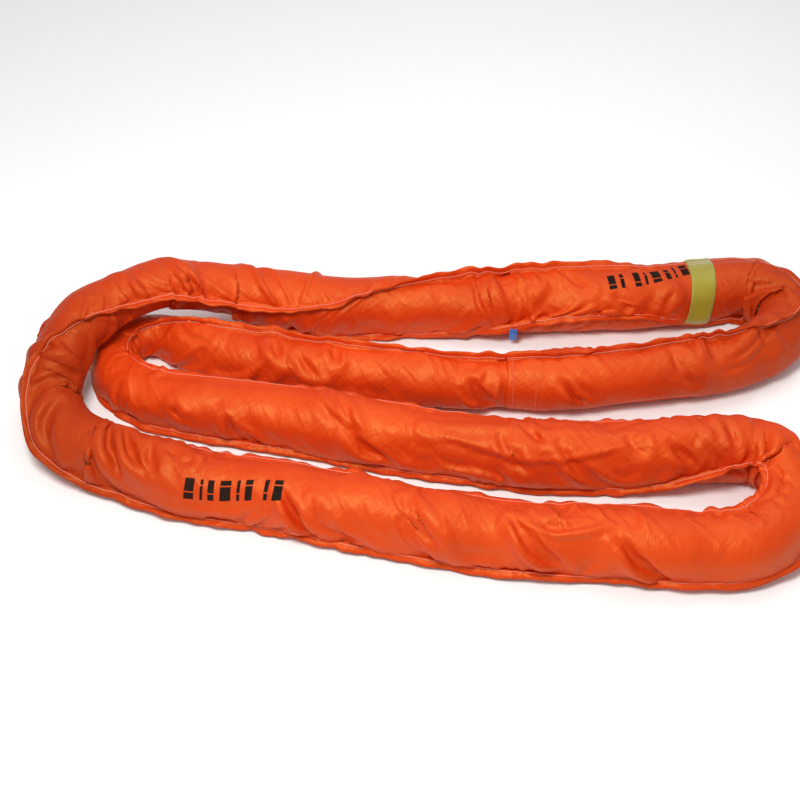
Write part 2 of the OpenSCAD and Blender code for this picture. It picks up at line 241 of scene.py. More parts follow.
# creases in the sleeve: route row and angle of each end, depth and width in millimetres
CREASES = [
    (17.8, 12, 17.0, -87, 9, 8), (16.0, 42, 15.4, -57, 8, 11), (17.4, -39, 17.1, -72, 4, 7),
    (16.6, -81, 16.4, -129, 6, 9), (15.2, -69, 15.2, -132, 5, 10), (18.8, -3, 18.6, -87, 6, 9),
    (21.6, 63, 21.4, -63, 9, 11), (21.4, 18, 21.2, -12, 5, 8), (22.7, -9, 23.7, 81, 5, 10),
    (24.7, -18, 25.2, 57, 7, 9), (25.0, -18, 25.6, 42, 7, 9), (25.5, -6, 25.7, 36, 5, 9),
    (24.4, 33, 24.5, 9, 4, 9), (25.8, -12, 26.1, 0, 5, 9), (27.2, 30, 27.6, 102, 7, 9),
    (27.6, 33, 28.0, 93, 5, 9), (28.6, 0, 29.0, 51, 8, 9), (28.6, 33, 29.0, 102, 7, 8),
    (29.8, 6, 30.4, 90, 8, 9), (31.0, 33, 31.6, 99, 8, 9), (30.1, -30, 30.3, 18, 5, 8),
    (30.6, -48, 30.8, 0, 5, 8), (31.0, -51, 31.2, 6, 5, 8), (29.9, 15, 31.0, 15, 4, 8),
    (41.3, -18, 41.0, -66, 8, 9), (40.6, -27, 39.9, -120, 6, 9), (41.1, 6, 40.8, -18, 5, 8),
    (42.2, -15, 39.4, -18, 3, 8), (39.6, -12, 39.4, -36, 5, 8), (39.0, -30, 38.6, -69, 6, 9),
    (38.2, -36, 37.6, -81, 7, 9), (37.9, 6, 37.6, -33, 5, 9), (43.4, 27, 43.0, -36, 6, 8),
    (43.1, -42, 42.6, -93, 6, 8), (45.4, -30, 45.2, -54, 5, 8), (44.6, -45, 44.5, -99, 5, 9),
    (46.7, -27, 46.4, -99, 6, 9), (51.6, 9, 52.2, 18, 7, 9), (53.2, -3, 53.4, 39, 5, 9),
    (53.6, 20, 53.9, 60, 5, 8), (54.0, -12, 54.1, 24, 4, 8), (55.6, 45, 55.8, 102, 8, 9),
    (55.8, 24, 55.8, 84, 5, 9), (0.7, 45, 1.0, 90, 6, 8), (0.9, 45, 1.1, 78, 4, 8),
    (2.4, 12, 2.7, 69, 9, 12), (3.2, -48, 3.0, 36, 6, 9), (2.9, -48, 2.8, 12, 5, 8),
    (3.2, 54, 4.5, 0, 7, 10), (8.1, -85, 6.1, 18, 3, 9), (4.2, 6, 4.3, 48, 5, 8),
    (12.5, 18, 12.3, -69, 8, 9), (12.6, 42, 12.5, 18, 5, 8), (11.8, 18, 11.6, -12, 5, 8),
    (11.2, 15, 10.8, -21, 4, 9), (10.4, -36, 10.1, -48, 5, 8), (9.5, -30, 9.6, -63, 4, 8),
    (37.2, 42, 36.3, -111, 9, 11), (36.9, 42, 36.2, 45, 5, 9), (36.6, -63, 36.6, -129, 6, 9),
    (38.1, 0, 37.7, -48, 6, 9), (33.8, -42, 35.4, -42, 5, 9), (38.2, 48, 38.2, 3, 5, 8),
]

# where the cloth has slipped round the hank, which moves seam two: route row, degrees
SEAM_TWO_SLIPS = [(8, 0), (9, 12), (10, 26), (11, 12), (12, 2), (13, 0)]
# where the sleeve is pressed in on its near lower side: route row, metres
PRESSED_IN = [(0, 0.008), (2.2, 0.007), (3.2, 0), (54.5, 0), (55.2, 0.008)]


def along_table(u, table):
    """A value from a short table of route rows, which joins up from its end to its start."""
    return np.interp(np.asarray(u) % ROUTE_ROWS, *np.array(table, float).T, period=ROUTE_ROWS)


def wrapped(x, whole):
    """x less as many wholes as bring it within half a whole of zero."""
    return (x + whole / 2) % whole - whole / 2


def route(u):
    """The route at places u, counted in route rows, on the same smooth curve as the CAD."""
    u = np.asarray(u, float)
    i = np.floor(u).astype(int)
    t = (u - i)[:, None]
    a, b, c, d = (ROUTE[(i + k) % ROUTE_ROWS] for k in (-1, 0, 1, 2))
    return 0.5 * (2 * b + (c - a) * t + (2 * a - 5 * b + 4 * c - d) * t * t
                  + (3 * b - a - 3 * c + d) * t ** 3)


class Section:
    """The sling's section at places u: middle, sizes, fins, and the direction to its right."""

    def __init__(self, u):
        row = route(u)
        self.u = np.asarray(u, float)
        self.x, self.y, low, self.half_w, self.half_h = row[:, :5].T
        self.mid = low + self.half_h - FLOOR_PRESS
        self.fin_one = np.radians(row[:, 5])
        self.fin_two = np.radians(row[:, 6] + along_table(u, SEAM_TWO_SLIPS))
        self.lies = [np.radians(along_table(u, table)) for table in (FIN_TWO_LIES, FIN_ONE_LIES)]
        d = route(self.u + 0.05)[:, :2] - route(self.u - 0.05)[:, :2]
        d /= np.linalg.norm(d, axis=1)[:, None]
        self.side_x, self.side_y = d[:, 1], -d[:, 0]

    def skin(self, angle, lift=0.0):
        """Section coordinates of points on the sleeve, lifted off it. angle is (rows, columns)."""
        s = (self.half_w[:, None] + lift) * np.sin(angle)
        z = self.mid[:, None] + (self.half_h[:, None] + lift) * np.cos(angle)
        return s, np.maximum(z, np.maximum(-lift, 0))

    def world(self, s, z):
        x = self.x[:, None] + self.side_x[:, None] * s
        y = self.y[:, None] + self.side_y[:, None] * s
        return np.stack([x, y, z], -1)

    def fin_dir(self, angle, root_z):
        up = np.clip(np.maximum(np.cos(angle), (MIDDLE_LIFT - root_z) / FIN_W), None, 1)
        return np.sign(np.sin(angle)) * np.sqrt(1 - up * up), up


def stations(rows):
    """Places at equal steps of length once round the route, and that step."""
    u = np.linspace(0, ROUTE_ROWS, 8 * rows + 1)
    r = route(u)
    mid = np.stack([r[:, 0], r[:, 1], r[:, 2] + r[:, 4]], 1)
    run = np.concatenate([[0], np.cumsum(np.linalg.norm(np.diff(mid, axis=0), axis=1))])
    return np.interp(np.arange(rows) * run[-1] / rows, run, u), run[-1] / rows


def noise(shape, step, waves, rng):
    """Smooth noise that wraps round both ways, about 1 high, with its waves in metres."""
    spectrum = np.fft.rfft2(rng.standard_normal(shape))
    fa = np.fft.fftfreq(shape[0], step[0])[:, None] * waves[0]
    fb = np.fft.rfftfreq(shape[1], step[1])[None] * waves[1]
    field = np.fft.irfft2(spectrum * np.exp(-0.5 * (fa * fa + fb * fb) * 6), s=shape)
    return field / field.std()


# ---- the sleeve as a net of points: columns round the tube, then three along each fin ----
FIN_COLS = 3
RING_ARC = 0.058


class Net:
    def __init__(self, rows, marked, plain):
        self.rows, self.marked, self.plain = rows, marked, plain
        self.ring = marked + plain
        self.cols = self.ring + 2 * FIN_COLS
        self.u, self.step = stations(rows)
        self.length = self.step * rows
        self.along = np.arange(rows) * self.step
        self.sec = Section(self.u)
        one, two = self.sec.fin_one[:, None], self.sec.fin_two[:, None]
        a = two + (one - two) * (np.arange(marked) / marked)
        b = one + (two + 2 * math.pi - one) * (np.arange(plain) / plain)
        self.angle = np.concatenate([a, b], 1)
        self.root = (0, marked)      # columns of fin two's and fin one's roots
        self.base = np.concatenate([self.world_ring(0.0), self.base_fins()], 1)

    def world_ring(self, lift):
        return self.sec.world(*self.sec.skin(self.angle, lift))

    def noise(self, waves, rng):
        """Smooth noise over the tube, with its waves in metres."""
        cell = (self.step, 2 * math.pi * RING_ARC / self.ring)
        return noise((self.rows, self.ring), cell, waves, rng)

    def metres(self, u):
        """How far along the sling a place on the route is."""
        rows = np.append(self.u, ROUTE_ROWS)
        return np.interp(np.asarray(u) % ROUTE_ROWS, rows, np.append(self.along, self.length))

    def beside(self, near, x0, angle, dy):
        """The rows near a fold, in metres along and round from where its line starts."""
        x = wrapped(self.along[near] - x0, self.length)[:, None]
        return x, wrapped(self.angle[near] - angle, 2 * math.pi) * RING_ARC + dy / 2

    def base_fins(self):
        made = []
        for angle, lies in zip((self.sec.fin_two[:, None], self.sec.fin_one[:, None]), self.sec.lies):
            s, z = self.sec.skin(angle)
            ds, dz = self.sec.fin_dir(angle + lies[:, None], z)
            out = FIN_W * (np.arange(FIN_COLS) + 1) / FIN_COLS
            made.append(self.sec.world(s + ds * out, z + dz * out))
        return np.concatenate(made, 1)

    def fin(self, which):
        """Columns of fin two (0) or fin one (1), from its root outwards."""
        first = self.ring + which * FIN_COLS
        return [self.root[which], *range(first, first + FIN_COLS)]


# ---- how far the sleeve may stand off before it meets another run ----
ROOM = 0.013
GAP_SHARE = 0.4       # each of two runs gets this much of the gap between them
SETTLE_ROOM = 0.0040  # the cloth settles within this much of the mean surface
SAME_RUN = 0.33       # points nearer than this along the sling are on the same run


def room_round(net):
    """How far each point may stand off: its share of the gap to the nearest other run, at most ROOM."""
    near = np.full((net.rows, net.ring), ROOM)
    pts = net.base[:, :net.ring]
    tree = kdtree.KDTree(net.rows * net.ring)
    for k, p in enumerate(pts.reshape(-1, 3)):
        tree.insert(p, k)
    tree.balance()
    apart = int(SAME_RUN / net.step)
    for i in range(net.rows):
        for j in range(net.ring):
            for _, k, dist in tree.find_range(pts[i, j], ROOM / GAP_SHARE):
                gap = abs(k // net.ring - i)
                if min(gap, net.rows - gap) > apart:
                    near[i, j] = min(near[i, j], GAP_SHARE * dist)
    return near


MILLI = 0.001        # folds are listed in millimetres
CREASE_REACH = 0.06
CREASE_HOLD = 0.3


def relief_of(net):
    """Height of the creases, and how firmly each point is held to it."""
    height = np.zeros((net.rows, net.ring))
    hold = np.zeros_like(height)
    for u0, a0, u1, a1, depth, width in CREASES:
        x0, x1 = net.metres([u0, u1])
        dx, dy = x1 - x0, np.radians(a1) * RING_ARC - np.radians(a0) * RING_ARC
        near = np.abs(wrapped(net.along - (x0 + x1) / 2, net.length)) < abs(dx) / 2 + CREASE_REACH
        x, y = net.beside(near, x0, (np.radians(a0) + np.radians(a1)) / 2, dy)
        t = np.clip((x * dx + y * dy) / (dx * dx + dy * dy), 0, 1)
        off = np.hypot(x - t * dx, y - t * dy) / (width * MILLI)
        strength = depth * MILLI * np.sin(math.pi * (0.12 + 0.76 * t))
        height[near] += strength * (0.55 * np.exp(-((off - 1.9) / 0.9) ** 2) - np.exp(-off * off))
        hold[near] = np.maximum(hold[near], CREASE_HOLD * np.exp(-(off / 1.6) ** 2))
    return height, hold


# ---- cloth solver: lengths kept by moving pairs of points, on a soft core ----
SLACK_ALONG = 1.035
SLACK_ROUND = 1.015
STIFF_SHEAR = 0.25
DAMPING = 0.86
GRAVITY = 0.00003
CORE_GIVE = 0.009    # how deep the cloth may press into the hank
CORE_SINK = 0.0045   # how far the hank's own surface lies under the sleeve's mean one
CORE_LUMPS = 0.0045
LUMP_SEED = 5
UNDERSIDE = -0.75    # the cosine of the angle under which the cloth faces the floor
UNDER_GIVE = 0.012   # how deep the cloth may press in there
CORE_TOP = 0.002     # the hank's lumps stand no higher than this
FOLD_GIVE = 0.002    # how far the cloth may pass a crease's floor, and a later fold the limits above
SEAM_HOLD = 0.06
FIN_HOLD = 0.05
FLOOR = 0.0026


class Links:
    """Sets of pairs that share no point, with the length and stiffness of each."""

    def __init__(self, net):
        self.net = net
        self.sets = []

    def at(self, i, j):
        return (i % self.net.rows) * self.net.cols + j

    def add(self, a, b, rest, stiff):
        a, b = np.broadcast_arrays(a, b)
        rest = np.broadcast_to(rest, a.shape)
        self.sets.append((a.ravel().copy(), b.ravel().copy(), rest.ravel().astype(np.float32), stiff))

    def pull(self, p):
        for a, b, rest, stiff in self.sets:
            d = p[b] - p[a]
            n = np.sqrt(np.einsum("ij,ij->i", d, d))
            d *= (0.5 * stiff * (1 - rest / n))[:, None]
            p[a] += d
            p[b] -= d


def cloth_lengths(net, height, rng):
    """Lengths of the cloth between neighbours: along and round, and the twist in each cell."""
    base = net.base
    along = np.linalg.norm(np.roll(base, -1, 0) - base, axis=2)
    ring = base[:, :net.ring]
    around = np.linalg.norm(np.roll(ring, -1, 1) - ring, axis=2)
    rise_along = np.roll(height, -1, 0) - height
    rise_round = np.roll(height, -1, 1) - height
    bunch = np.clip(net.noise((0.16, 0.10), rng), 0, 2)
    fine = net.noise((0.05, 0.04), rng)
    g = along[:, :net.ring]
    ring_along = np.clip(SLACK_ALONG * net.step, 1.012 * g, 1.2 * g) * (1 + 0.022 * bunch + 0.006 * fine)
    ring_along = np.hypot(ring_along, rise_along)
    around = around * (SLACK_ROUND + 0.02 * np.roll(bunch, net.rows // 3, 0) + 0.004 * fine)
    around = np.hypot(around, rise_round)
    for c in net.root:
        ring_along[:, c] = 0.992 * g[:, c]
    fins = [along[:, net.root[which], None] * (1.0, 1.02, 1.045) for which in (0, 1)]
    twist = 0.09 * net.noise((0.30, 0.40), rng)
    return np.concatenate([ring_along, *fins], 1), around, twist


def make_links(net, height, rng):
    along, around, twist = cloth_lengths(net, height, rng)
    links = Links(net)
    i_all = np.arange(net.rows)[:, None]
    j_all = np.arange(net.ring)
    cols = np.arange(net.cols)
    for first in (0, 1):
        i = i_all[first::2]
        links.add(links.at(i, cols), links.at(i + 1, cols), along[first::2], 1.0)
    for first in (0, 1):
        j = j_all[first::2]
        links.add(links.at(i_all, j), links.at(i_all, (j + 1) % net.ring), around[:, first::2], 1.0)
    for which in (0, 1):
        cols = net.fin(which)
        for first in (0, 1):
            a, b = np.array(cols[:-1])[first::2], np.array(cols[1:])[first::2]
            links.add(links.at(i_all, a), links.at(i_all, b), np.array(FIN_W / FIN_COLS), 1.0)
    la, lr = along[:, :net.ring], around
    both = la * la + lr * lr
    for fi in (0, 1):
        for fj in (0, 1):
            i, j = i_all[fi::2], j_all[fj::2]
            k = (j + 1) % net.ring
            skew = 2 * (la * lr * twist)[fi::2, fj::2]
            two = both[fi::2, fj::2]
            a = np.stack(np.broadcast_arrays(links.at(i, j), links.at(i + 1, j)))
            b = np.stack(np.broadcast_arrays(links.at(i + 1, k), links.at(i, k)))
            links.add(a, b, np.sqrt(np.stack([two + skew, two - skew])), STIFF_SHEAR)
    return links


def bend_out(q, axis, k):
    """Evens out the bending along one way of the net."""
    d2 = np.roll(q, 1, axis) + np.roll(q, -1, axis) - 2 * q
    q -= k * (np.roll(d2, 1, axis) + np.roll(d2, -1, axis) - 2 * d2)


class Core:
    """The hank inside the cloth, as columns of numbers of one kind."""

    def __init__(self, sec, kind):
        columns = (sec.x, sec.y, sec.mid, sec.side_x, sec.side_y, sec.half_w, sec.half_h)
        columns = [v[:, None].astype(kind) for v in columns]
        self.x, self.y, self.mid, self.side_x, self.side_y, self.half_w, self.half_h = columns
        self.mean = (self.half_w + self.half_h) / 2

    def keep(self, q, low, high, height=0.0, hold=0.0):
        """Keeps points between two heights over the mean surface, and draws them to a third."""
        s = (q[..., 0] - self.x) * self.side_x + (q[..., 1] - self.y) * self.side_y
        z = q[..., 2] - self.mid
        e = np.sqrt((s / self.half_w) ** 2 + (z / self.half_h) ** 2)
        h = (e - 1) * self.mean
        h += hold * (height - h)
        f = (1 + np.clip(h, low, high) / self.mean) / e - 1
        q[..., 0] += self.side_x * s * f
        q[..., 1] += self.side_y * s * f
        q[..., 2] += z * f


def hold_fins(net, p, fins):
    """Draws each seam to its place, and its fin to the way it lies."""
    for w, (seam_place, offset) in enumerate(fins):
        cols = net.fin(w)
        seam = p[:, net.root[w]]
        seam += SEAM_HOLD * (seam_place - seam)
        tip = p[:, cols[1]:cols[-1] + 1]
        tip += FIN_HOLD * (p[:, [net.root[w]]] + offset - tip)


def settle(net, p, room, steps, bending, rng):
    """Lets the cloth take up its slack on the core and the floor."""
    height, hold = relief_of(net)
    links = make_links(net, height, rng)
    core = Core(net.sec, np.float32)
    lumps = CORE_LUMPS * net.noise((0.11, 0.10), np.random.default_rng(LUMP_SEED))
    low = np.minimum(lumps - CORE_SINK, height - FOLD_GIVE)
    low = np.clip(low, -CORE_GIVE, CORE_TOP)
    low = np.where(np.cos(net.angle) < UNDERSIDE, -UNDER_GIVE, low).astype(np.float32)
    high = np.minimum(room, SETTLE_ROOM).astype(np.float32)
    height, hold = height.astype(np.float32), hold.astype(np.float32)
    fins = [(net.base[:, net.root[w]].astype(np.float32),
             (net.base[:, net.fin(w)[1:]] - net.base[:, [net.root[w]]]).astype(np.float32)) for w in (0, 1)]
    flat = p.reshape(-1, 3)
    before = p.copy()
    for _ in range(steps):
        move = (p - before) * DAMPING
        before[...] = p
        p += move
        p[..., 2] -= GRAVITY
        links.pull(flat)
        q = p[:, :net.ring]
        bend_out(q, 0, bending)
        bend_out(q, 1, bending)
        bend_out(p[:, net.ring:], 0, bending)
        core.keep(q, low, high, height, hold)
        hold_fins(net, p, fins)
        np.maximum(p[..., 2], FLOOR, out=p[..., 2])
    return p


def resampled(values, count, axis):
    """Values at count equal steps along a closed axis, on a smooth curve through the given ones."""
    old = values.shape[axis]
    at = np.arange(count) * old / count
    i = np.floor(at).astype(int)
    t = (at - i).reshape([-1 if k == axis else 1 for k in range(values.ndim)])
    a, b, c, d = (np.take(values, (i + k) % old, axis) for k in (-1, 0, 1, 2))
    return 0.5 * (2 * b + (c - a) * t + (2 * a - 5 * b + 4 * c - d) * t * t
                  + (3 * b - a - 3 * c + d) * t ** 3)


def finer(net, fine, p):
    """The same cloth on a net with more rows and columns."""
    ring = resampled(p[:, :net.ring], fine.ring, 1)
    wide = np.concatenate([ring, p[:, net.ring:]], 1)
    return resampled(wide, fine.rows, 0)


def wide_room(room, fine):
    """The same room on a finer net, and never more than any neighbour's."""
    i = np.arange(fine.rows) * room.shape[0] // fine.rows
    j = np.arange(fine.ring) * room.shape[1] // fine.ring
    wide = room[i][:, j]
    for axis in (0, 1):
        wide = np.minimum(wide, np.minimum(np.roll(wide, 1, axis), np.roll(wide, -1, axis)))
    return wide


# ---- crisp folds worked into the settled cloth ----
FOLD_SHARE = 2.2
FOLD_WIDE = 1.6
FOLD_EDGE = 0.0026   # half the width over which a fold drops
FOLD_REACH = 0.05
FOLD_LIMIT = 0.0115  # folds that add up flatten off towards this height
SMALL_FOLDS = 280
ROW_LENGTH = 0.11    # about one route row, in metres
SWELL = 0.0033
PUCKER_REACH = 0.030
PUCKER = 0.0026
FIN_WAVE = 0.0034
FIN_DRAW = 0.0015


def random_creases(rng):
    """Small folds all over the sleeve, mostly slanting across it."""
    made = []
    for _ in range(SMALL_FOLDS):
        u = rng.uniform(0, ROUTE_ROWS)
        angle = rng.uniform(-180, 180)
        length = rng.uniform(0.025, 0.10)
        slant = rng.choice((-1, 1), p=(0.3, 0.7)) * rng.uniform(0.6, 1.5)
        du = length * math.cos(slant) / ROW_LENGTH
        da = math.degrees(length * math.sin(slant) / RING_ARC)
        made.append((u, angle, u + du, angle + da, rng.uniform(0.7, 2.6), rng.uniform(4.0, 7.5)))
    return made


def beside_creases(rng):
    """Lesser folds that run beside the main ones, as gathered cloth makes them."""
    made = []
    for u0, a0, u1, a1, depth, width in CREASES:
        for side in (-1, 1):
            if rng.uniform() < 0.3:
                continue
            du, da = side * rng.uniform(0.10, 0.22), rng.uniform(-9, 9)
            cut = rng.uniform(0.1, 0.4)
            made.append((u0 + du + (u1 - u0) * cut, a0 + da + (a1 - a0) * cut, u1 + 0.6 * du,
                         a1 + da + side * rng.uniform(2, 10), depth * rng.uniform(0.35, 0.7), width * 0.9))
    return made


def add_fold(net, height, fold, side):
    """One fold: it rises slowly on one side, and drops sharply into a trough on the other."""
    u0, a0, u1, a1, depth, width = fold
    x0, x1 = net.metres([u0, u1])
    dx = wrapped(x1 - x0, net.length)
    dy = math.radians(a1 - a0) * RING_ARC
    reach = int((abs(dx) / 2 + FOLD_REACH) / net.step)
    middle = int(round((x0 + dx / 2) / net.step))
    near = np.arange(middle - reach, middle + reach + 1) % net.rows
    x, y = net.beside(near, x0, math.radians((a0 + a1) / 2), dy)
    size = math.hypot(dx, dy)
    t = np.clip((x * dx + y * dy) / (size * size), 0, 1)
    bow = 0.10 * size * np.sin(math.pi * t)
    off = ((x - t * dx) * dy - (y - t * dy) * dx) / size + bow
    beyond = np.hypot(x - t * dx, y - t * dy)
    beyond = np.sqrt(np.maximum(beyond ** 2 - (off - bow) ** 2, 0))
    w = width * MILLI * FOLD_WIDE * (0.55 + 0.9 * t)
    off = off * side
    strength = depth * MILLI * np.sin(math.pi * (0.08 + 0.84 * t)) * np.exp(-(beyond / 0.008) ** 2)
    ridge = np.exp(-(np.maximum(-off, 0) / w) ** 1.3)
    trough = np.exp(-(np.maximum(off, 0) / w) ** 1.2)
    share = np.clip(off / FOLD_EDGE, -1, 1) / 2 + 0.5
    height[near] += strength * (0.75 * ridge * (1 - share) - 0.95 * trough * share)


def wavy(net, waves, rng):
    """Smooth random waves along the sling, about 1 high."""
    return noise((net.rows, 2), (net.step, 1.0), (waves, 0.0), rng)[:, 0]


def pucker(net, height, rng):
    """Short folds that run from each seam into the cloth, where the stitching gathers it."""
    for w in (0, 1):
        dist = wrapped(net.angle - net.angle[:, [net.root[w]]], 2 * math.pi) * RING_ARC
        for side in (-1, 1):
            ripple = wavy(net, 0.011, rng)
            ripple = np.where(ripple > 0, ripple, 0.4 * ripple)
            patch = np.clip(0.7 + 0.8 * wavy(net, 0.12, rng), 0.1, 1.8)
            lean = 0.9 * wavy(net, 0.15, rng)
            depth = np.maximum(dist * side, 0)
            place = (net.along[:, None] + lean[:, None] * depth) / net.step
            i = np.floor(place).astype(int)
            t = place - i
            value = ripple[i % net.rows] * (1 - t) + ripple[(i + 1) % net.rows] * t
            fade = np.exp(-(depth / PUCKER_REACH) ** 1.5) * (1 - np.exp(-(depth / 0.004)))
            height += np.where(dist * side > 0, PUCKER * patch[:, None] * value * fade, 0)


def wave_fins(net, p, rng):
    """Lets the edge of each fin wander to both sides of its own plane."""
    for w in (0, 1):
        cols = net.fin(w)
        root = p[:, cols[0]]
        lean = unit(p[:, cols[-1]] - root)
        run = unit(np.roll(root, -2, 0) - np.roll(root, 2, 0))
        side = unit(np.cross(run, lean))
        wave = FIN_WAVE * (0.7 * wavy(net, 0.022, rng) + 0.7 * wavy(net, 0.06, rng))
        draw = FIN_DRAW * wavy(net, 0.03, rng)
        if w == 0:
            wave = wave * (1 - np.exp(-((net.u - TAG_ROW) / TAG_CALM) ** 2))
        for k, c in enumerate(cols[1:]):
            share = ((k + 1) / FIN_COLS) ** 1.4
            p[:, c] += side * (wave * share)[:, None] + lean * (draw * share)[:, None]


def blurred(height):
    """Each height shared with its neighbours, so that no fold has a stepped edge."""
    for axis in (0, 1):
        height = (np.roll(height, 1, axis) + 2 * height + np.roll(height, -1, axis)) / 4
    return height


def sculpt(net, p, room, rng):
    """Adds crisp folds, seam puckers and wavy fins to the settled cloth."""
    height = np.zeros((net.rows, net.ring))
    for fold in CREASES + beside_creases(rng):
        add_fold(net, height, fold, rng.choice((-1, 1)))
    height *= FOLD_SHARE
    height += SWELL * net.noise((0.085, 0.09), rng)
    for fold in random_creases(rng):
        add_fold(net, height, fold, rng.choice((-1, 1)))
    height = blurred(FOLD_LIMIT * np.tanh(height / FOLD_LIMIT))
    pucker(net, height, rng)
    ring = p[:, :net.ring]
    da = np.roll(ring, -1, 0) - np.roll(ring, 1, 0)
    db = np.roll(ring, -1, 1) - np.roll(ring, 1, 1)
    outward = unit(np.cross(db, da))
    sec = net.sec
    middle = np.stack([sec.x, sec.y, sec.mid], -1)[:, None]
    outward *= np.sign((outward * (ring - middle)).sum(-1, keepdims=True))
    under = np.clip((np.cos(net.angle) + 0.85) / 0.2, 0, 1)
    ring += outward * (height * under)[..., None]
    low = np.where(np.cos(net.angle) < UNDERSIDE, -UNDER_GIVE, -CORE_GIVE) - FOLD_GIVE
    Core(sec, float).keep(ring, low, room)
    wave_fins(net, p, rng)
    np.maximum(p[..., 2], FLOOR, out=p[..., 2])
    return p


# rows, columns of the marked panel, columns of the plain one
COARSE_NET = (512, 16, 20)
FINE_NET = (1024, 32, 40)
LAST_NET = (1536, 48, 60)
COARSE_STEPS = 500
QUICK_STEPS = 60
FINE_STEPS = 260
COARSE_BENDING = 0.012
FINE_BENDING = 0.015
CLOTH_SEED = 11
FOLD_SEED = 23
NEAR_SIDE = math.radians(120)    # the angle where the sleeve is pressed in


def sleeve_room(net):
    """How far the cloth may stand off the hank: less on the underside and where it is pressed in."""
    room = room_round(net) * (0.35 + 0.65 * np.clip(np.cos(net.angle) * 1.4 + 1.0, 0, 1))
    pressed = np.clip(1.5 - np.abs(net.angle - NEAR_SIDE) / math.radians(40), 0, 1)
    return room - along_table(net.u, PRESSED_IN)[:, None] * pressed


def make_sleeve():
    """The net of the finished cloth, and where its points lie."""
    rng = np.random.default_rng(CLOTH_SEED)
    coarse, fine, last = Net(*COARSE_NET), Net(*FINE_NET), Net(*LAST_NET)
    room = sleeve_room(coarse)
    start = coarse.base.copy()
    rough = coarse.noise((0.03, 0.03), rng)[..., None]
    start[:, :coarse.ring] += (coarse.world_ring(0.001) - coarse.world_ring(0.0)) * rough
    p = start.astype(np.float32)
    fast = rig.quick()
    p = settle(coarse, p, room, QUICK_STEPS if fast else COARSE_STEPS, COARSE_BENDING, rng)
    p = finer(coarse, fine, p)
    if not fast:
        p = settle(fine, p, wide_room(room, fine), FINE_STEPS, FINE_BENDING, rng)
    p = finer(fine, last, p.astype(float))
    return last, sculpt(last, p, wide_room(room, last), np.random.default_rng(FOLD_SEED))


# ---- mesh helpers ----
def unit(v):
    return v / np.maximum(np.linalg.norm(v, axis=-1, keepdims=True), 1e-9)


def grid_faces(rows, cols, closed_rows=False, closed_cols=False):
    i = np.arange(rows if closed_rows else rows - 1)[:, None]
    j = np.arange(cols if closed_cols else cols - 1)[None]
    i2, j2 = (i + 1) % rows, (j + 1) % cols
    quads = np.stack([i * cols + j, i * cols + j2, i2 * cols + j2, i2 * cols + j], -1)
    return quads.reshape(-1, 4)


def cloth_at(along, across):
    """Places on the flat cloth in metres, for the materials."""
    return np.stack(np.broadcast_arrays(along, across, 0.0), -1)


def add_mesh(name, verts, faces, material, attributes=None):
    mesh = bpy.data.meshes.new(name)
    faces = np.asarray(faces)
    mesh.vertices.add(len(verts))
    mesh.vertices.foreach_set("co", np.asarray(verts, np.float32).ravel())
    mesh.loops.add(faces.size)
    mesh.loops.foreach_set("vertex_index", faces.ravel().astype(np.int32))
    mesh.polygons.add(len(faces))
    mesh.polygons.foreach_set("loop_start", np.arange(0, faces.size, faces.shape[1]).astype(np.int32))
    for key, values in (attributes or {}).items():
        kind = "FLOAT_VECTOR" if values.ndim == 2 else "FLOAT"
        field = "vector" if values.ndim == 2 else "value"
        mesh.attributes.new(key, kind, "POINT").data.foreach_set(field, values.astype(np.float32).ravel())
    mesh.update(calc_edges=True)
    mesh.validate()
    mesh.polygons.foreach_set("use_smooth", np.ones(len(mesh.polygons), bool))
    mesh.materials.append(material)
    obj = bpy.data.objects.new(name, mesh)
    bpy.context.scene.collection.objects.link(obj)
    return obj


def sheet_normals(grid):
    """Normals of an open sheet of points (rows, columns, 3)."""
    da = np.gradient(grid, axis=0)
    db = np.gradient(grid, axis=1)
    return unit(np.cross(db, da))


def thick_sheet(name, grid, thickness, material, cloth=None, normals=None):
    """A sheet with two faces and a closed edge all round."""
    rows, cols = grid.shape[:2]
    n = sheet_normals(grid) if normals is None else normals
    top = (grid + n * thickness / 2).reshape(-1, 3)
    low = (grid - n * thickness / 2).reshape(-1, 3)
    faces = grid_faces(rows, cols)[:, ::-1]
    count = rows * cols
    edge = np.concatenate([np.arange(cols), np.arange(1, rows) * cols + cols - 1,
                           (rows - 1) * cols + np.arange(cols - 2, -1, -1),
                           np.arange(rows - 2, 0, -1) * cols])
    after = np.roll(edge, -1)
    rim = np.stack([edge, after, after + count, edge + count], 1)
    attributes = None if cloth is None else {"cloth": np.concatenate([cloth.reshape(-1, 3)] * 2)}
    return add_mesh(name, np.concatenate([top, low]),
                    np.concatenate([faces, faces[:, ::-1] + count, rim]), material, attributes)


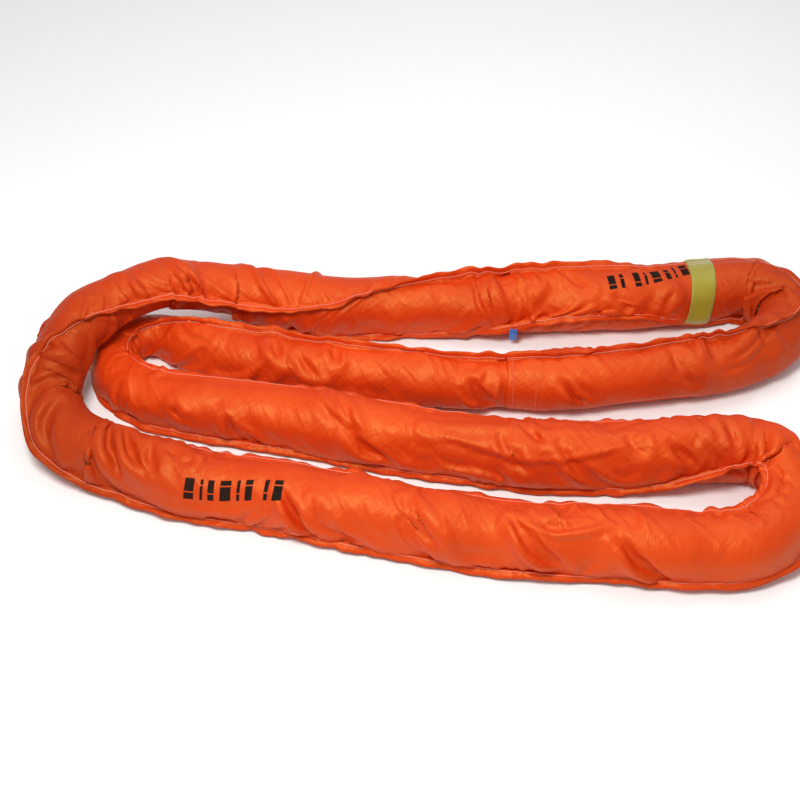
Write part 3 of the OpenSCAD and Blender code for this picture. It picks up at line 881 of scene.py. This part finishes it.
# ---- materials ----
class Shade:
    """Short names for building one node material."""

    def __init__(self, name):
        self.mat = bpy.data.materials.new(name)
        self.mat.use_nodes = True
        self.nodes = self.mat.node_tree.nodes
        self.links = self.mat.node_tree.links
        self.bsdf = self.nodes["Principled BSDF"]

    def node(self, kind, **inputs):
        n = self.nodes.new(kind)
        for key, value in inputs.items():
            self.put(n.inputs[key.replace("_", " ")], value)
        return n

    def put(self, socket, value):
        if isinstance(value, bpy.types.NodeSocket):
            self.links.new(value, socket)
        else:
            socket.default_value = value

    def math(self, kind, a, b=None, c=None, clamp=False):
        n = self.nodes.new("ShaderNodeMath")
        n.operation = kind
        n.use_clamp = clamp
        for k, v in enumerate((a, b, c)):
            if v is not None:
                self.put(n.inputs[k], v)
        return n.outputs[0]

    def times(self, a, b, clamp=False):
        return self.math("MULTIPLY", a, b, clamp=clamp)

    def less(self, a, b, clamp=False):
        """a less b."""
        return self.math("SUBTRACT", a, b, clamp=clamp)

    def fit(self, x, scale, start):
        """x times scale, and start more."""
        return self.math("MULTIPLY_ADD", x, scale, start)

    def greatest(self, values):
        return functools.reduce(lambda a, b: self.math("MAXIMUM", a, b), values)

    def cloth(self):
        """The place on the flat cloth, in metres."""
        n = self.nodes.new("ShaderNodeAttribute")
        n.attribute_name = "cloth"
        return n.outputs["Vector"]

    def place(self):
        return self.node("ShaderNodeTexCoord").outputs["Object"]

    def split(self, vector):
        n = self.nodes.new("ShaderNodeSeparateXYZ")
        self.put(n.inputs[0], vector)
        return n.outputs[0], n.outputs[1], n.outputs[2]

    def noise(self, vector, scale, detail=3.0, rough=0.5):
        n = self.node("ShaderNodeTexNoise", Scale=scale, Detail=detail, Roughness=rough)
        self.put(n.inputs["Vector"], vector)
        return n.outputs["Fac"]

    def ramp(self, fac, *stops):
        n = self.nodes.new("ShaderNodeValToRGB")
        self.put(n.inputs[0], fac)
        band = n.color_ramp
        while len(band.elements) < len(stops):
            band.elements.new(0.5)
        for e, (at, colour) in zip(band.elements, stops):
            e.position = at
            e.color = (*colour, 1)
        return n.outputs[0]

    def mix(self, fac, a, b, kind="MIX"):
        n = self.nodes.new("ShaderNodeMix")
        n.data_type = "RGBA"
        n.blend_type = kind
        self.put(n.inputs[0], fac)
        for socket, v in ((n.inputs[6], a), (n.inputs[7], b)):
            self.put(socket, (*v, 1) if isinstance(v, tuple) else v)
        return n.outputs[2]

    def wave(self, x, period):
        """0 to 1 and back, once each period of x."""
        s = self.math("SINE", self.times(x, 2 * math.pi / period))
        return self.fit(s, 0.5, 0.5)

    def bump(self, height, strength, distance, normal=None):
        n = self.node("ShaderNodeBump", Strength=strength, Distance=distance)
        self.put(n.inputs["Height"], height)
        if normal is not None:
            self.put(n.inputs["Normal"], normal)
        return n.outputs["Normal"]

    def set(self, **inputs):
        for key, value in inputs.items():
            self.put(self.bsdf.inputs[key.replace("_", " ")], value)


def within(sh, x, low, high, soft):
    """1 where x is between low and high, with a soft edge."""
    half, middle = (high - low) / 2, (high + low) / 2
    off = sh.math("ABSOLUTE", sh.less(x, middle))
    return sh.math("DIVIDE", sh.less(half, off), soft, clamp=True)


# where each bar starts, and how wide it is
BARS = [(0.000, 0.017), (0.026, 0.006), (0.039, 0.012), (0.060, 0.020), (0.089, 0.007), (0.104, 0.014),
        (0.137, 0.009), (0.154, 0.016)]
SOFT_EDGE = 0.0012
BRIDGE = 0.003
BRIDGE_EDGE = 0.001


def stencil(sh, along, across, place):
    """A row of plain black bars, each split by the thin bridge that a stencil leaves."""
    start, end, low, high, slope = place
    from_start = sh.less(along, start)
    across = sh.fit(from_start, -slope, across)
    inside = within(sh, across, low, high, SOFT_EDGE)

    def bars():
        for k, (first, width) in enumerate(BARS):
            if first + width > end - start:
                return
            bar = within(sh, from_start, first, first + width, SOFT_EDGE)
            split = low + (high - low) * (0.32 + 0.36 * (k % 2))
            yield sh.times(bar, sh.less(1.0, within(sh, across, split, split + BRIDGE, BRIDGE_EDGE)))

    return sh.times(inside, sh.greatest(bars()))


RIB = 0.0056         # from one rib of the weave to the next
GRID = 0.0115        # from one line of the check to the next
GLOSS = 0.62
# painted shade at the sling's two outer bends, where the light falls off: place and reach along the sling, how dark
SHADED_BENDS = ((0.62, 0.26, 0.34), (2.28, 0.30, 0.50))


def wrinkle_lines(sh, cloth, turn, scale, stretch):
    """Flat facets with narrow valleys between them, drawn out along one slanting direction."""
    size = (1 / scale, 1 / (scale * stretch), 1 / scale)
    placed = sh.node("ShaderNodeMapping", Rotation=(0, 0, turn), Scale=size)
    placed.vector_type = "TEXTURE"
    sh.put(placed.inputs["Vector"], cloth)
    n = sh.noise(placed.outputs[0], 1.0, 2.5, 0.5)
    away = sh.math("ABSOLUTE", sh.less(n, 0.5))
    return sh.math("MINIMUM", sh.times(away, 9.0), 1.0)


def painted_bend_shade(sh, along):
    """Painted shade: darker cloth at the sling's two outer bends, where the light falls off."""
    def bends():
        for middle, reach, share in SHADED_BENDS:
            off = sh.math("DIVIDE", sh.less(along, middle), reach)
            near = sh.math("POWER", 2.718, sh.times(sh.times(off, off), -1.0))
            yield sh.times(near, share)

    return sh.greatest(bends())


def polyester(name, places=()):
    sh = Shade(name)
    cloth = sh.cloth()
    along, across, _ = sh.split(cloth)
    cloud = sh.noise(cloth, 5.0, 4.0, 0.55)
    base = sh.ramp(cloud, (0.30, (0.56, 0.026, 0.0015)), (0.52, (0.63, 0.036, 0.002)),
                   (0.75, (0.68, 0.049, 0.003)))
    rib = sh.wave(along, RIB)
    line = sh.math("POWER", rib, 6.0)
    base = sh.mix(sh.times(line, 0.10), base, (0.50, 0.045, 0.006))
    grid = sh.math("POWER", sh.wave(across, GRID), 12.0)
    base = sh.mix(sh.times(grid, 0.05), base, (0.50, 0.045, 0.006))
    scuff = sh.noise(cloth, 38.0, 6.0, 0.7)
    worn = sh.times(sh.less(scuff, 0.60, clamp=True), 0.7)
    base = sh.mix(worn, base, (0.40, 0.10, 0.05))
    rough = sh.fit(scuff, 0.16, 0.44)
    gloss = GLOSS
    if places:
        mark = sh.greatest(stencil(sh, along, across, place) for place in places)
        patch = sh.noise(cloth, 260.0, 2.0, 0.6)
        mark = sh.times(mark, sh.fit(patch, 0.5, 0.80), clamp=True)
        base = sh.mix(mark, base, (0.010, 0.009, 0.009))
        rough = sh.fit(mark, 0.25, rough)
        gloss = sh.fit(mark, -GLOSS * 0.9, GLOSS)
    # painted shade at the two outer bends: the cloth's colour is darkened there and its gloss is damped
    bend_shade = painted_bend_shade(sh, along)
    base = sh.mix(bend_shade, base, (0.10, 0.012, 0.004))
    gloss = sh.times(gloss, sh.less(1.0, bend_shade))
    fibre = sh.noise(cloth, 900.0, 2.0, 0.6)
    weave = sh.fit(fibre, 0.5, rib)
    normal = sh.bump(weave, 0.16, 0.0006)
    normal = sh.bump(wrinkle_lines(sh, cloth, 0.75, 26.0, 0.30), 0.36, 0.0030, normal)
    normal = sh.bump(wrinkle_lines(sh, cloth, -0.95, 48.0, 0.36), 0.24, 0.0016, normal)
    sh.set(Base_Color=base, Roughness=rough, Normal=normal, Sheen_Weight=0.03,
           Sheen_Roughness=0.4, Specular_IOR_Level=gloss)
    sh.bsdf.inputs["Specular Tint"].default_value = (1.0, 0.90, 0.28, 1)
    sh.bsdf.inputs["Sheen Tint"].default_value = (1.0, 0.55, 0.35, 1)
    return sh.mat


def thread_material(name, colour, dark):
    sh = Shade(name)
    co = sh.place()
    twist = sh.noise(co, 420.0, 3.0, 0.6)
    base = sh.mix(twist, colour, dark)
    sh.set(Base_Color=base, Roughness=sh.fit(twist, 0.25, 0.35), Sheen_Weight=0.25,
           Normal=sh.bump(twist, 0.5, 0.0006))
    return sh.mat


def webbing(name, light, deep, pitch, edge=None):
    """A flat woven tape: fine twill lines along it and a firmer edge."""
    sh = Shade(name)
    cloth = sh.cloth()
    along, across, _ = sh.split(cloth)
    slant = sh.math("ADD", along, across)
    twill = sh.wave(slant, pitch)
    lines = sh.wave(across, pitch * 1.4)
    cloud = sh.noise(cloth, 30.0, 4.0, 0.6)
    base = sh.mix(cloud, light, deep)
    base = sh.mix(sh.times(twill, 0.20), base, tuple(v * 0.55 for v in deep))
    if edge is not None:
        half, colour = edge
        out = sh.math("ABSOLUTE", across)
        rim = sh.math("DIVIDE", sh.less(out, half - 0.004), 0.001, clamp=True)
        base = sh.mix(sh.times(rim, 0.6), base, colour)
    height = sh.math("ADD", twill, sh.times(lines, 0.6))
    sh.set(Base_Color=base, Roughness=sh.fit(cloud, 0.2, 0.32), Sheen_Weight=0.3,
           Normal=sh.bump(height, 0.25, 0.0005))
    return sh.mat


def yarn_material():
    sh = Shade("polyester_yarn")
    co = sh.place()
    _, across, _ = sh.split(sh.cloth())
    strand = sh.wave(across, 0.004)
    fuzz = sh.noise(co, 300.0, 5.0, 0.7)
    base = sh.mix(strand, (0.60, 0.56, 0.48), (0.84, 0.81, 0.74))
    base = sh.mix(sh.times(fuzz, 0.4), base, (0.74, 0.70, 0.62))
    sh.set(Base_Color=base, Roughness=0.55, Sheen_Weight=0.4,
           Normal=sh.bump(sh.math("ADD", strand, sh.times(fuzz, 0.5)), 0.6, 0.001))
    return sh.mat


# ---- sleeve panels ----
CLOTH_T = 0.0011
SEAM_GAP = 0.0003
LAYER = 0.0010


def smooth_step(t):
    return t * t * (3 - 2 * t)


def along_shift(i, rows, joint):
    """How far each row of the sleeve stands off at the joint: its start is over, its end under."""
    start = np.clip(2 - i / joint, 0, 1)
    end = np.clip((i - rows + joint) / joint, 0, 1)
    return LAYER * (smooth_step(start) - smooth_step(end))


def panel_grid(net, p, which):
    """Middle face of one panel, from the tip of one fin round to the tip of the other."""
    joint = int(round(OVERLAP_LEN / net.step))
    rows = np.arange(net.rows + joint)
    shift = along_shift(rows, net.rows, joint)
    two, one = net.fin(0), net.fin(1)
    if which == "marked":
        ring = list(range(net.marked + 1))
        first, last = two[:0:-1], one[1:]
    else:
        ring = list(range(net.marked, net.ring)) + [0]
        first, last = one[:0:-1], two[1:]
    cols = first + ring + last
    closed = np.concatenate([p[-2:], p, p[:joint + 2]])
    grid = closed[:, cols]
    outward = sheet_normals(grid)
    # on the fins the panel's outer face looks away from the other panel
    off = np.zeros(len(cols))
    off[:len(first) + 1] = off[-len(last) - 1:] = CLOTH_T / 2 + SEAM_GAP
    grid = (grid + outward * off[None, :, None])[2:-2]
    outward = outward[2:-2]
    grid = grid + outward * shift[:, None, None]
    across = flat_across(net, ring)[rows % net.rows]
    return grid, outward, cloth_at((rows * net.step)[:, None], across)


def flat_across(net, ring):
    """How far each column of a panel is from the seam on its last side, laid flat."""
    widths = np.linalg.norm(np.diff(net.base[:, ring], axis=1), axis=2)
    fin_steps = np.full((net.rows, FIN_COLS), FIN_W / FIN_COLS)
    steps = np.concatenate([fin_steps, widths, fin_steps], 1)
    across = np.concatenate([np.zeros((net.rows, 1)), np.cumsum(steps, 1)], 1)
    return across[:, -1:] - across - FIN_W


# ---- stitches ----
def tube_pieces(paths, normals, radius, sides=5):
    """Many short tubes at once. paths and normals are (pieces, points, 3)."""
    count, points = paths.shape[:2]
    t = unit(np.gradient(paths, axis=1))
    b = unit(np.cross(t, normals))
    n = np.cross(b, t)
    turn = 2 * math.pi * np.arange(sides) / sides
    thin = np.ones(points)
    thin[0] = thin[-1] = 0.55
    ring = np.cos(turn)[:, None] * n[:, :, None] + np.sin(turn)[:, None] * b[:, :, None]
    verts = paths[:, :, None] + radius * thin[None, :, None, None] * ring
    faces = grid_faces(points, sides, closed_cols=True)
    faces = faces[None] + (np.arange(count) * points * sides)[:, None, None]
    return verts.reshape(-1, 3), faces.reshape(-1, 4)


def stitch_row(line, normals, pitch, gap, rise, radius):
    """Stitches along a line of points: each rises out of the cloth and dives back in."""
    run = np.concatenate([[0], np.cumsum(np.linalg.norm(np.diff(line, axis=0), axis=1))])
    count = max(int(run[-1] / pitch), 1)
    share = np.linspace(0, 1, 5)
    at = (np.arange(count)[:, None] + gap / 2 + share * (1 - gap)) * run[-1] / count

    def pick(values):
        return np.stack([np.interp(at, run, values[:, k]) for k in range(3)], -1)

    n = unit(pick(normals))
    paths = pick(line) + n * (rise * (np.sin(math.pi * share) * 1.4 - 0.4))[None, :, None]
    return tube_pieces(paths, n, radius)


def join_parts(parts):
    verts, faces, first = [], [], 0
    for v, f in parts:
        verts.append(v)
        faces.append(f + first)
        first += len(v)
    return np.concatenate(verts), np.concatenate(faces)


STITCH_PITCH = 0.0048
STITCH_GAP = 0.14
STITCH_R = 0.0008
STITCH_IN = 0.0046   # from the fin's root
STITCH_OFF = 0.0002  # from the face they lie on


def seam_thread(name, net, grid, outward, at_start, mat):
    """The stitches on one face of a fin, on the flange at the start or the end of a panel grid."""
    out = STITCH_IN / (FIN_W / FIN_COLS)
    k = int(out)
    t = out - k
    cols = grid.shape[1]
    a, b = (FIN_COLS - k, FIN_COLS - k - 1) if at_start else (cols - 1 - FIN_COLS + k, cols - FIN_COLS + k)
    line = grid[:net.rows, a] * (1 - t) + grid[:net.rows, b] * t
    n = unit(outward[:net.rows, a] * (1 - t) + outward[:net.rows, b] * t)
    line = line + n * (CLOTH_T / 2 + STITCH_OFF)
    v, f = stitch_row(line, n, STITCH_PITCH, STITCH_GAP, 0.0006, STITCH_R)
    return add_mesh(name, v, f, mat)


def joint_stitches(net, panels, mat):
    """Two rows round each panel where the sleeve's start lies over its end."""
    parts = []
    for grid, outward in panels:
        for share in (0.15, 0.75):
            row = share * OVERLAP_LEN / net.step
            i, t = int(row), row - int(row)
            cols = slice(FIN_COLS + 1, grid.shape[1] - FIN_COLS - 1)
            n = outward[i, cols]
            line = grid[i, cols] * (1 - t) + grid[i + 1, cols] * t + n * (CLOTH_T / 2 + STITCH_OFF)
            parts.append(stitch_row(line, n, STITCH_PITCH, STITCH_GAP, 0.0005, STITCH_R))
    v, f = join_parts(parts)
    return add_mesh("joint_stitches", v, f, mat)


# ---- hank, ties and tape inside the sleeve ----
HANK_DEPTH = 0.0135
HANK_ARC = 0.044
HANK_NET = (560, 130)
STRANDS = 26
TAPE_OFF = 0.0006
TAPE_T = 0.001


def hank_surface(u, cols, lift=0.0, flute=0.0010):
    sec = Section(u)
    turn = 2 * math.pi * np.arange(cols) / cols
    angle = np.broadcast_to(turn, (len(u), cols))
    wave = flute * np.cos(STRANDS * turn + np.asarray(u)[:, None] * 1.3)
    return sec.world(*sec.skin(angle, lift - HANK_DEPTH + wave))


def make_hank(mat):
    rows, cols = HANK_NET
    u, step = stations(rows)
    cloth = cloth_at((np.arange(rows) * step)[:, None], round_hank(cols))
    return add_mesh("yarn_hank", hank_surface(u, cols).reshape(-1, 3), grid_faces(rows, cols, True, True),
                    mat, {"cloth": cloth.reshape(-1, 3)})


def round_hank(cols):
    return np.arange(cols) * 2 * math.pi * HANK_ARC / cols


def row_length(u):
    r = route(np.array([u - 0.5, u + 0.5]))
    return float(np.hypot(*(r[1] - r[0])[:2]))


def band(u_mid, length, rows=9, cols=96):
    """A band of tape round the hank, as a closed thin shell."""
    half = length / 2 / row_length(u_mid)
    u = np.linspace(u_mid - half, u_mid + half, rows)
    outer = hank_surface(u, cols, TAPE_OFF + TAPE_T, 0.0004)
    inner = hank_surface(u[::-1], cols, TAPE_OFF, 0.0004)
    grid = np.concatenate([outer, inner])
    along = np.concatenate([u, u[::-1]]) * row_length(u_mid)
    cloth = cloth_at(along[:, None], round_hank(cols))
    return grid.reshape(-1, 3), grid_faces(2 * rows, cols, True, True), cloth.reshape(-1, 3)


def make_bands(name, places, length, mat):
    parts = [band(u, length) for u in places]
    v, f = join_parts([(v, f) for v, f, _ in parts])
    return add_mesh(name, v, f, mat, {"cloth": np.concatenate([c for _, _, c in parts])})


# ---- label ----
LABEL_T = 0.0010
LABEL_GAP = 0.0013
LABEL_LEAST = 0.0009  # the least gap, once the label is smoothed
LABEL_COLS = 15
LABEL_MID = LABEL_COLS // 2
LABEL_STEPS = 48
LABEL_BEND = 4        # steps of the label from its sewn end over which it bends when it is lifted
LABEL_LEAN = 0.026    # how far the hanging end lies from straight below the sewn one


def smooth_rows(grid, times, axis):
    for _ in range(times):
        mean = (np.roll(grid, 1, axis) + 2 * grid + np.roll(grid, -1, axis)) / 4
        keep = [slice(None)] * grid.ndim
        keep[axis] = slice(1, -1)
        grid = grid.copy()
        grid[tuple(keep)] = mean[tuple(keep)]
    return grid


def under_label(net, columns):
    """Rows (across, along) and columns (along) of the marked panel under the label."""
    centre = np.interp(LABEL_ROW, net.u, np.arange(net.rows))
    mid = int(round(centre))
    fin_one, fin_two = net.sec.fin_one[mid], net.sec.fin_two[mid]
    end_col = int(round((LABEL_END - fin_two) / (fin_one - fin_two) * net.marked)) + FIN_COLS
    cols = np.arange(columns - 1, end_col - 1, -1)
    spacing = np.linalg.norm(net.base[mid + 4, :net.marked] - net.base[mid - 4, :net.marked], axis=1) / 8
    spacing = smooth_rows(np.interp(cols - FIN_COLS, np.arange(net.marked), spacing)[:, None], 6, 0)[:, 0]
    lean = LABEL_LEAN * np.linspace(0, 1, len(cols)) / net.step
    wide = np.linspace(-LABEL_W / 2, LABEL_W / 2, LABEL_COLS)
    return centre + lean[None] + wide[:, None] / spacing[None], cols


def label_form(net, grid, outward):
    """The label's middle face: it bridges the hollows of the cloth under it, and is pushed off that cloth.

    The smoothing after each push can still let it touch. Seam two's fin isn't looked at: the last 14 mm or
    so of the loose end pass through that fin and meet the sleeve behind it.
    """
    rows, cols = under_label(net, grid.shape[1])
    lo = np.floor(rows).astype(int)
    t = (rows - lo)[..., None]
    surface = grid[lo, cols] * (1 - t) + grid[lo + 1, cols] * t
    normal = unit(outward[lo, cols] * (1 - t) + outward[lo + 1, cols] * t)
    faces = CLOTH_T / 2 + LABEL_T / 2
    line = smooth_rows(surface + normal * (faces + LABEL_GAP), 30, 0)
    line = smooth_rows(line, 10, 1)
    for _ in range(6):
        under = ((line - surface) * normal).sum(-1, keepdims=True)
        line = line + normal * np.maximum(faces + LABEL_LEAST - under, 0)
        line = smooth_rows(line, 1, 0)
    return line, normal


def make_label(net, grid, outward, mat):
    """The label: on the fin's face at its sewn end, then over the sleeve and down its near side."""
    line, normal = label_form(net, grid, outward)
    steps = np.linalg.norm(np.diff(line[LABEL_MID], axis=0), axis=1)
    steps = np.concatenate([[0], np.cumsum(steps)])
    want = np.linspace(0, steps[-1], LABEL_STEPS)
    fine = np.stack([np.stack([np.interp(want, steps, row[:, k]) for k in range(3)], -1) for row in line])
    wide = np.linspace(-LABEL_W / 2, LABEL_W / 2, LABEL_COLS)
    n = sheet_normals(fine)
    n *= np.sign(n.mean((0, 1)) @ normal.mean((0, 1)))
    label = thick_sheet("yellow_label", fine, LABEL_T, mat, cloth_at(want, wide[:, None]), n)
    bend = (fine[LABEL_MID, 0], fine[LABEL_MID, LABEL_BEND])
    return label, fine, n, steps[-1], bend


def label_stitches(fine, n, mat):
    parts = []
    for at in (4, 6):
        line = fine[1:-1, at] + n[1:-1, at] * (LABEL_T / 2 + STITCH_OFF)
        parts.append(stitch_row(line, n[1:-1, at], 0.0035, 0.25, 0.0005, 0.0005))
    return add_mesh("label_stitches", *join_parts(parts), mat)


# ---- tag ----
TAG_W = 0.015
TAG_LEN = 0.030
TAG_T = 0.0006
TAG_TOP = 0.011                # height of the tag's top over the fin's edge
TAG_NET = (9, 22)              # points across and along it
TAG_BEND = (0.002, -0.006)     # heights, from the fin's edge, between which a lifted tag bends


def make_tag(net, p, mat, thread):
    """The tag, hanging down over the edge of seam two's fin, and its stitches."""
    centre = int(round(np.interp(TAG_ROW, net.u, np.arange(net.rows))))
    cols = net.fin(0)
    tip, root = p[centre, cols[-1]], p[centre, cols[0]]
    along = p[centre + 3, cols[-1]] - p[centre - 3, cols[-1]]
    along = unit(along * (1, 1, 0))
    out = unit(np.cross(along, [0, 0, 1]))
    if np.dot(out, tip - root) < 0:
        out = -out
    wide = np.linspace(-TAG_W / 2, TAG_W / 2, TAG_NET[0])
    down = np.linspace(TAG_TOP, TAG_TOP - TAG_LEN, TAG_NET[1])
    bow = 0.0015 + 0.0016 * np.sin(np.linspace(0, math.pi, TAG_NET[1]) * 1.1)
    grid = (tip + out * bow[:, None])[None] + along * wide[:, None, None]
    grid = grid + np.array([0, 0, 1.0]) * down[None, :, None]
    n = np.broadcast_to(out, grid.shape)
    tag = thick_sheet("blue_tag_cloth", grid, TAG_T, mat, cloth_at(down, wide[:, None]), n)
    parts = []
    for k in (2, 4):
        line = grid[1:-1, k] + n[1:-1, k] * (TAG_T / 2 + 0.0001)
        parts.append(stitch_row(line, n[1:-1, k], 0.003, 0.25, 0.0004, 0.0004))
    bend = [tip + np.array([0, 0, h]) for h in TAG_BEND]
    return tag, add_mesh("tag_stitches", *join_parts(parts), thread), bend


# ---- floor, light and camera ----
TARGET = Vector((-0.050, 0.015, 0.055))
ELEVATION = math.radians(46)
DISTANCE = 2.8
LENS = 67.2


def add_camera():
    cam = bpy.data.objects.new("camera", bpy.data.cameras.new("camera"))
    bpy.context.scene.collection.objects.link(cam)
    cam.data.lens = LENS
    cam.data.sensor_width = 36
    cam.location = TARGET + DISTANCE * Vector((0, -math.cos(ELEVATION), math.sin(ELEVATION)))
    cam.rotation_euler = (math.pi / 2 - ELEVATION, 0, 0)
    bpy.context.scene.camera = cam


def add_light(name, place, size, power, colour):
    lamp = bpy.data.lights.new(name, "AREA")
    lamp.shape = "RECTANGLE"
    lamp.size, lamp.size_y = size
    lamp.energy = power
    lamp.color = colour
    obj = bpy.data.objects.new(name, lamp)
    bpy.context.scene.collection.objects.link(obj)
    obj.location = place
    obj.rotation_euler = (Vector((0, 0, 0)) - Vector(place)).to_track_quat("-Z", "Y").to_euler()


def add_stage():
    sh = Shade("pale_floor")
    co = sh.place()
    cloud = sh.noise(co, 0.7, 3.0, 0.5)
    sh.set(Base_Color=sh.mix(cloud, (0.90, 0.90, 0.90), (0.94, 0.94, 0.94)), Roughness=0.85)
    floor = add_mesh("floor", np.array([(-6, -6, 0), (6, -6, 0), (6, 6, 0), (-6, 6, 0)], float),
                     np.array([(0, 1, 2, 3)]), sh.mat)
    floor.location.z = -0.0005
    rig.stage(floor)
    world = bpy.data.worlds.new("studio")
    bpy.context.scene.world = world
    world.use_nodes = True
    world.node_tree.nodes["Background"].inputs[0].default_value = (1, 1, 1, 1)
    world.node_tree.nodes["Background"].inputs[1].default_value = 0.50
    add_light("key", (-0.5, -0.9, 2.2), (0.7, 0.7), 45, (1.0, 0.98, 0.95))
    add_light("top", (0.6, 1.0, 2.4), (1.6, 1.0), 18, (1.0, 1.0, 1.0))
    bpy.context.scene.view_settings.view_transform = "Standard"


# ---- the build ----
# the two rows of bars: route rows between which each lies, then its edges across and its slope
MARKS = ((26.12, 27.42, 0.056, 0.092, 0.12), (9.12, 10.5, 0.002, 0.036, 0.14))


def build():
    net, p = make_sleeve()
    places = [(*(float(x) for x in net.metres(mark[:2])), *mark[2:]) for mark in MARKS]
    marked_mat = polyester("orange_polyester_marked", places)
    plain_mat = polyester("orange_polyester")
    seam_mat = thread_material("seam_thread", (0.88, 0.30, 0.20), (0.78, 0.19, 0.12))
    white = thread_material("label_thread", (0.80, 0.80, 0.76), (0.62, 0.62, 0.58))

    grid_m, out_m, cloth_m = panel_grid(net, p, "marked")
    grid_p, out_p, cloth_p = panel_grid(net, p, "plain")
    marked = thick_sheet("marked_panel_cloth", grid_m, CLOTH_T, marked_mat, cloth_m, out_m)
    plain = thick_sheet("plain_panel_cloth", grid_p, CLOTH_T, plain_mat, cloth_p, out_p)
    threads = {}
    for seam, needle_side, bobbin_side in (("one", (grid_m, out_m), (grid_p, out_p)),
                                           ("two", (grid_p, out_p), (grid_m, out_m))):
        for kind, side in (("needle", needle_side), ("bobbin", bobbin_side)):
            name = f"seam_{seam}_{kind}_"
            threads[name + "thread"] = seam_thread(name + "stitches", net, *side, kind == "bobbin", seam_mat)
    joint_mat = thread_material("joint_thread", (0.76, 0.12, 0.040), (0.66, 0.075, 0.020))
    joint = joint_stitches(net, ((grid_m, out_m), (grid_p, out_p)), joint_mat)

    hank = make_hank(yarn_material())
    tape_mat = webbing("binding_tape", (0.74, 0.70, 0.58), (0.62, 0.56, 0.42), 0.0016)
    ties = make_bands("hank_tie_tapes", [2.25 + 7 * k for k in range(8)], 0.025, tape_mat)
    tape = make_bands("yarn_end_wrap", [26.75], 0.090, tape_mat)

    label_mat = webbing("yellow_webbing", (0.37, 0.31, 0.010), (0.30, 0.245, 0.006), 0.0022,
                        (LABEL_W / 2, (0.27, 0.25, 0.03)))
    label, fine, label_n, label_len, label_bend = make_label(net, grid_m, out_m, label_mat)
    label_stitch = label_stitches(fine, label_n, white)
    tag_mat = webbing("blue_polyester", (0.012, 0.165, 0.62), (0.008, 0.12, 0.50), 0.0014)
    blue = thread_material("tag_thread", (0.030, 0.22, 0.68), (0.020, 0.16, 0.55))
    tag, tag_stitch, tag_bend = make_tag(net, p, tag_mat, blue)

    fixed = [(marked, "marked_sleeve_panel", "orange_polyester"),
             (plain, "plain_sleeve_panel", "orange_polyester"),
             (hank, "core_hank", "polyester_yarn"), (ties, "hank_ties", "binding_tape"),
             (tape, "yarn_end_tape", "binding_tape"), (joint, "sleeve_joint_stitching", "sewing_thread")]
    for obj, node, slot in fixed + [(obj, node, "sewing_thread") for node, obj in threads.items()]:
        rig.ride(obj, "sling")
        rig.replaces(obj, node)
        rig.slot(obj, slot)
    lifted = [(label, "label", "id_label", label_bend, "yellow_webbing"),
              (label_stitch, "label", "id_label_stitching", label_bend, "label_thread"),
              (tag, "tag", "blue_tag", tag_bend, "blue_polyester"),
              (tag_stitch, "tag", "blue_tag_stitching", tag_bend, "label_thread")]
    for obj, body, node, bend, slot in lifted:
        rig.blend(obj, "sling", body, *bend)
        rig.replaces(obj, node)
        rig.slot(obj, slot)

    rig.sheet(marked, flat=(0.222, 6.07), held="gathered", rests_on=["yarn_hank"])
    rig.sheet(plain, flat=(0.222, 6.07), held="gathered", rests_on=["yarn_hank"])
    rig.sheet(label, flat=(LABEL_W, round(label_len, 3)), held="hung", rests_on=["marked_panel_cloth"])
    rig.sheet(tag, flat=(TAG_W, TAG_LEN), held="hung", rests_on=["marked_panel_cloth"])
    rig.padded(hank, fill=0.9)


add_camera()
build()
add_stage()
lo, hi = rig.bounds()
json.dump({"cad": [list(CAD_BOX[0]), list(CAD_BOX[1])], "visual": [list(lo), list(hi)]}, open(SIZE_FILE, "w"))
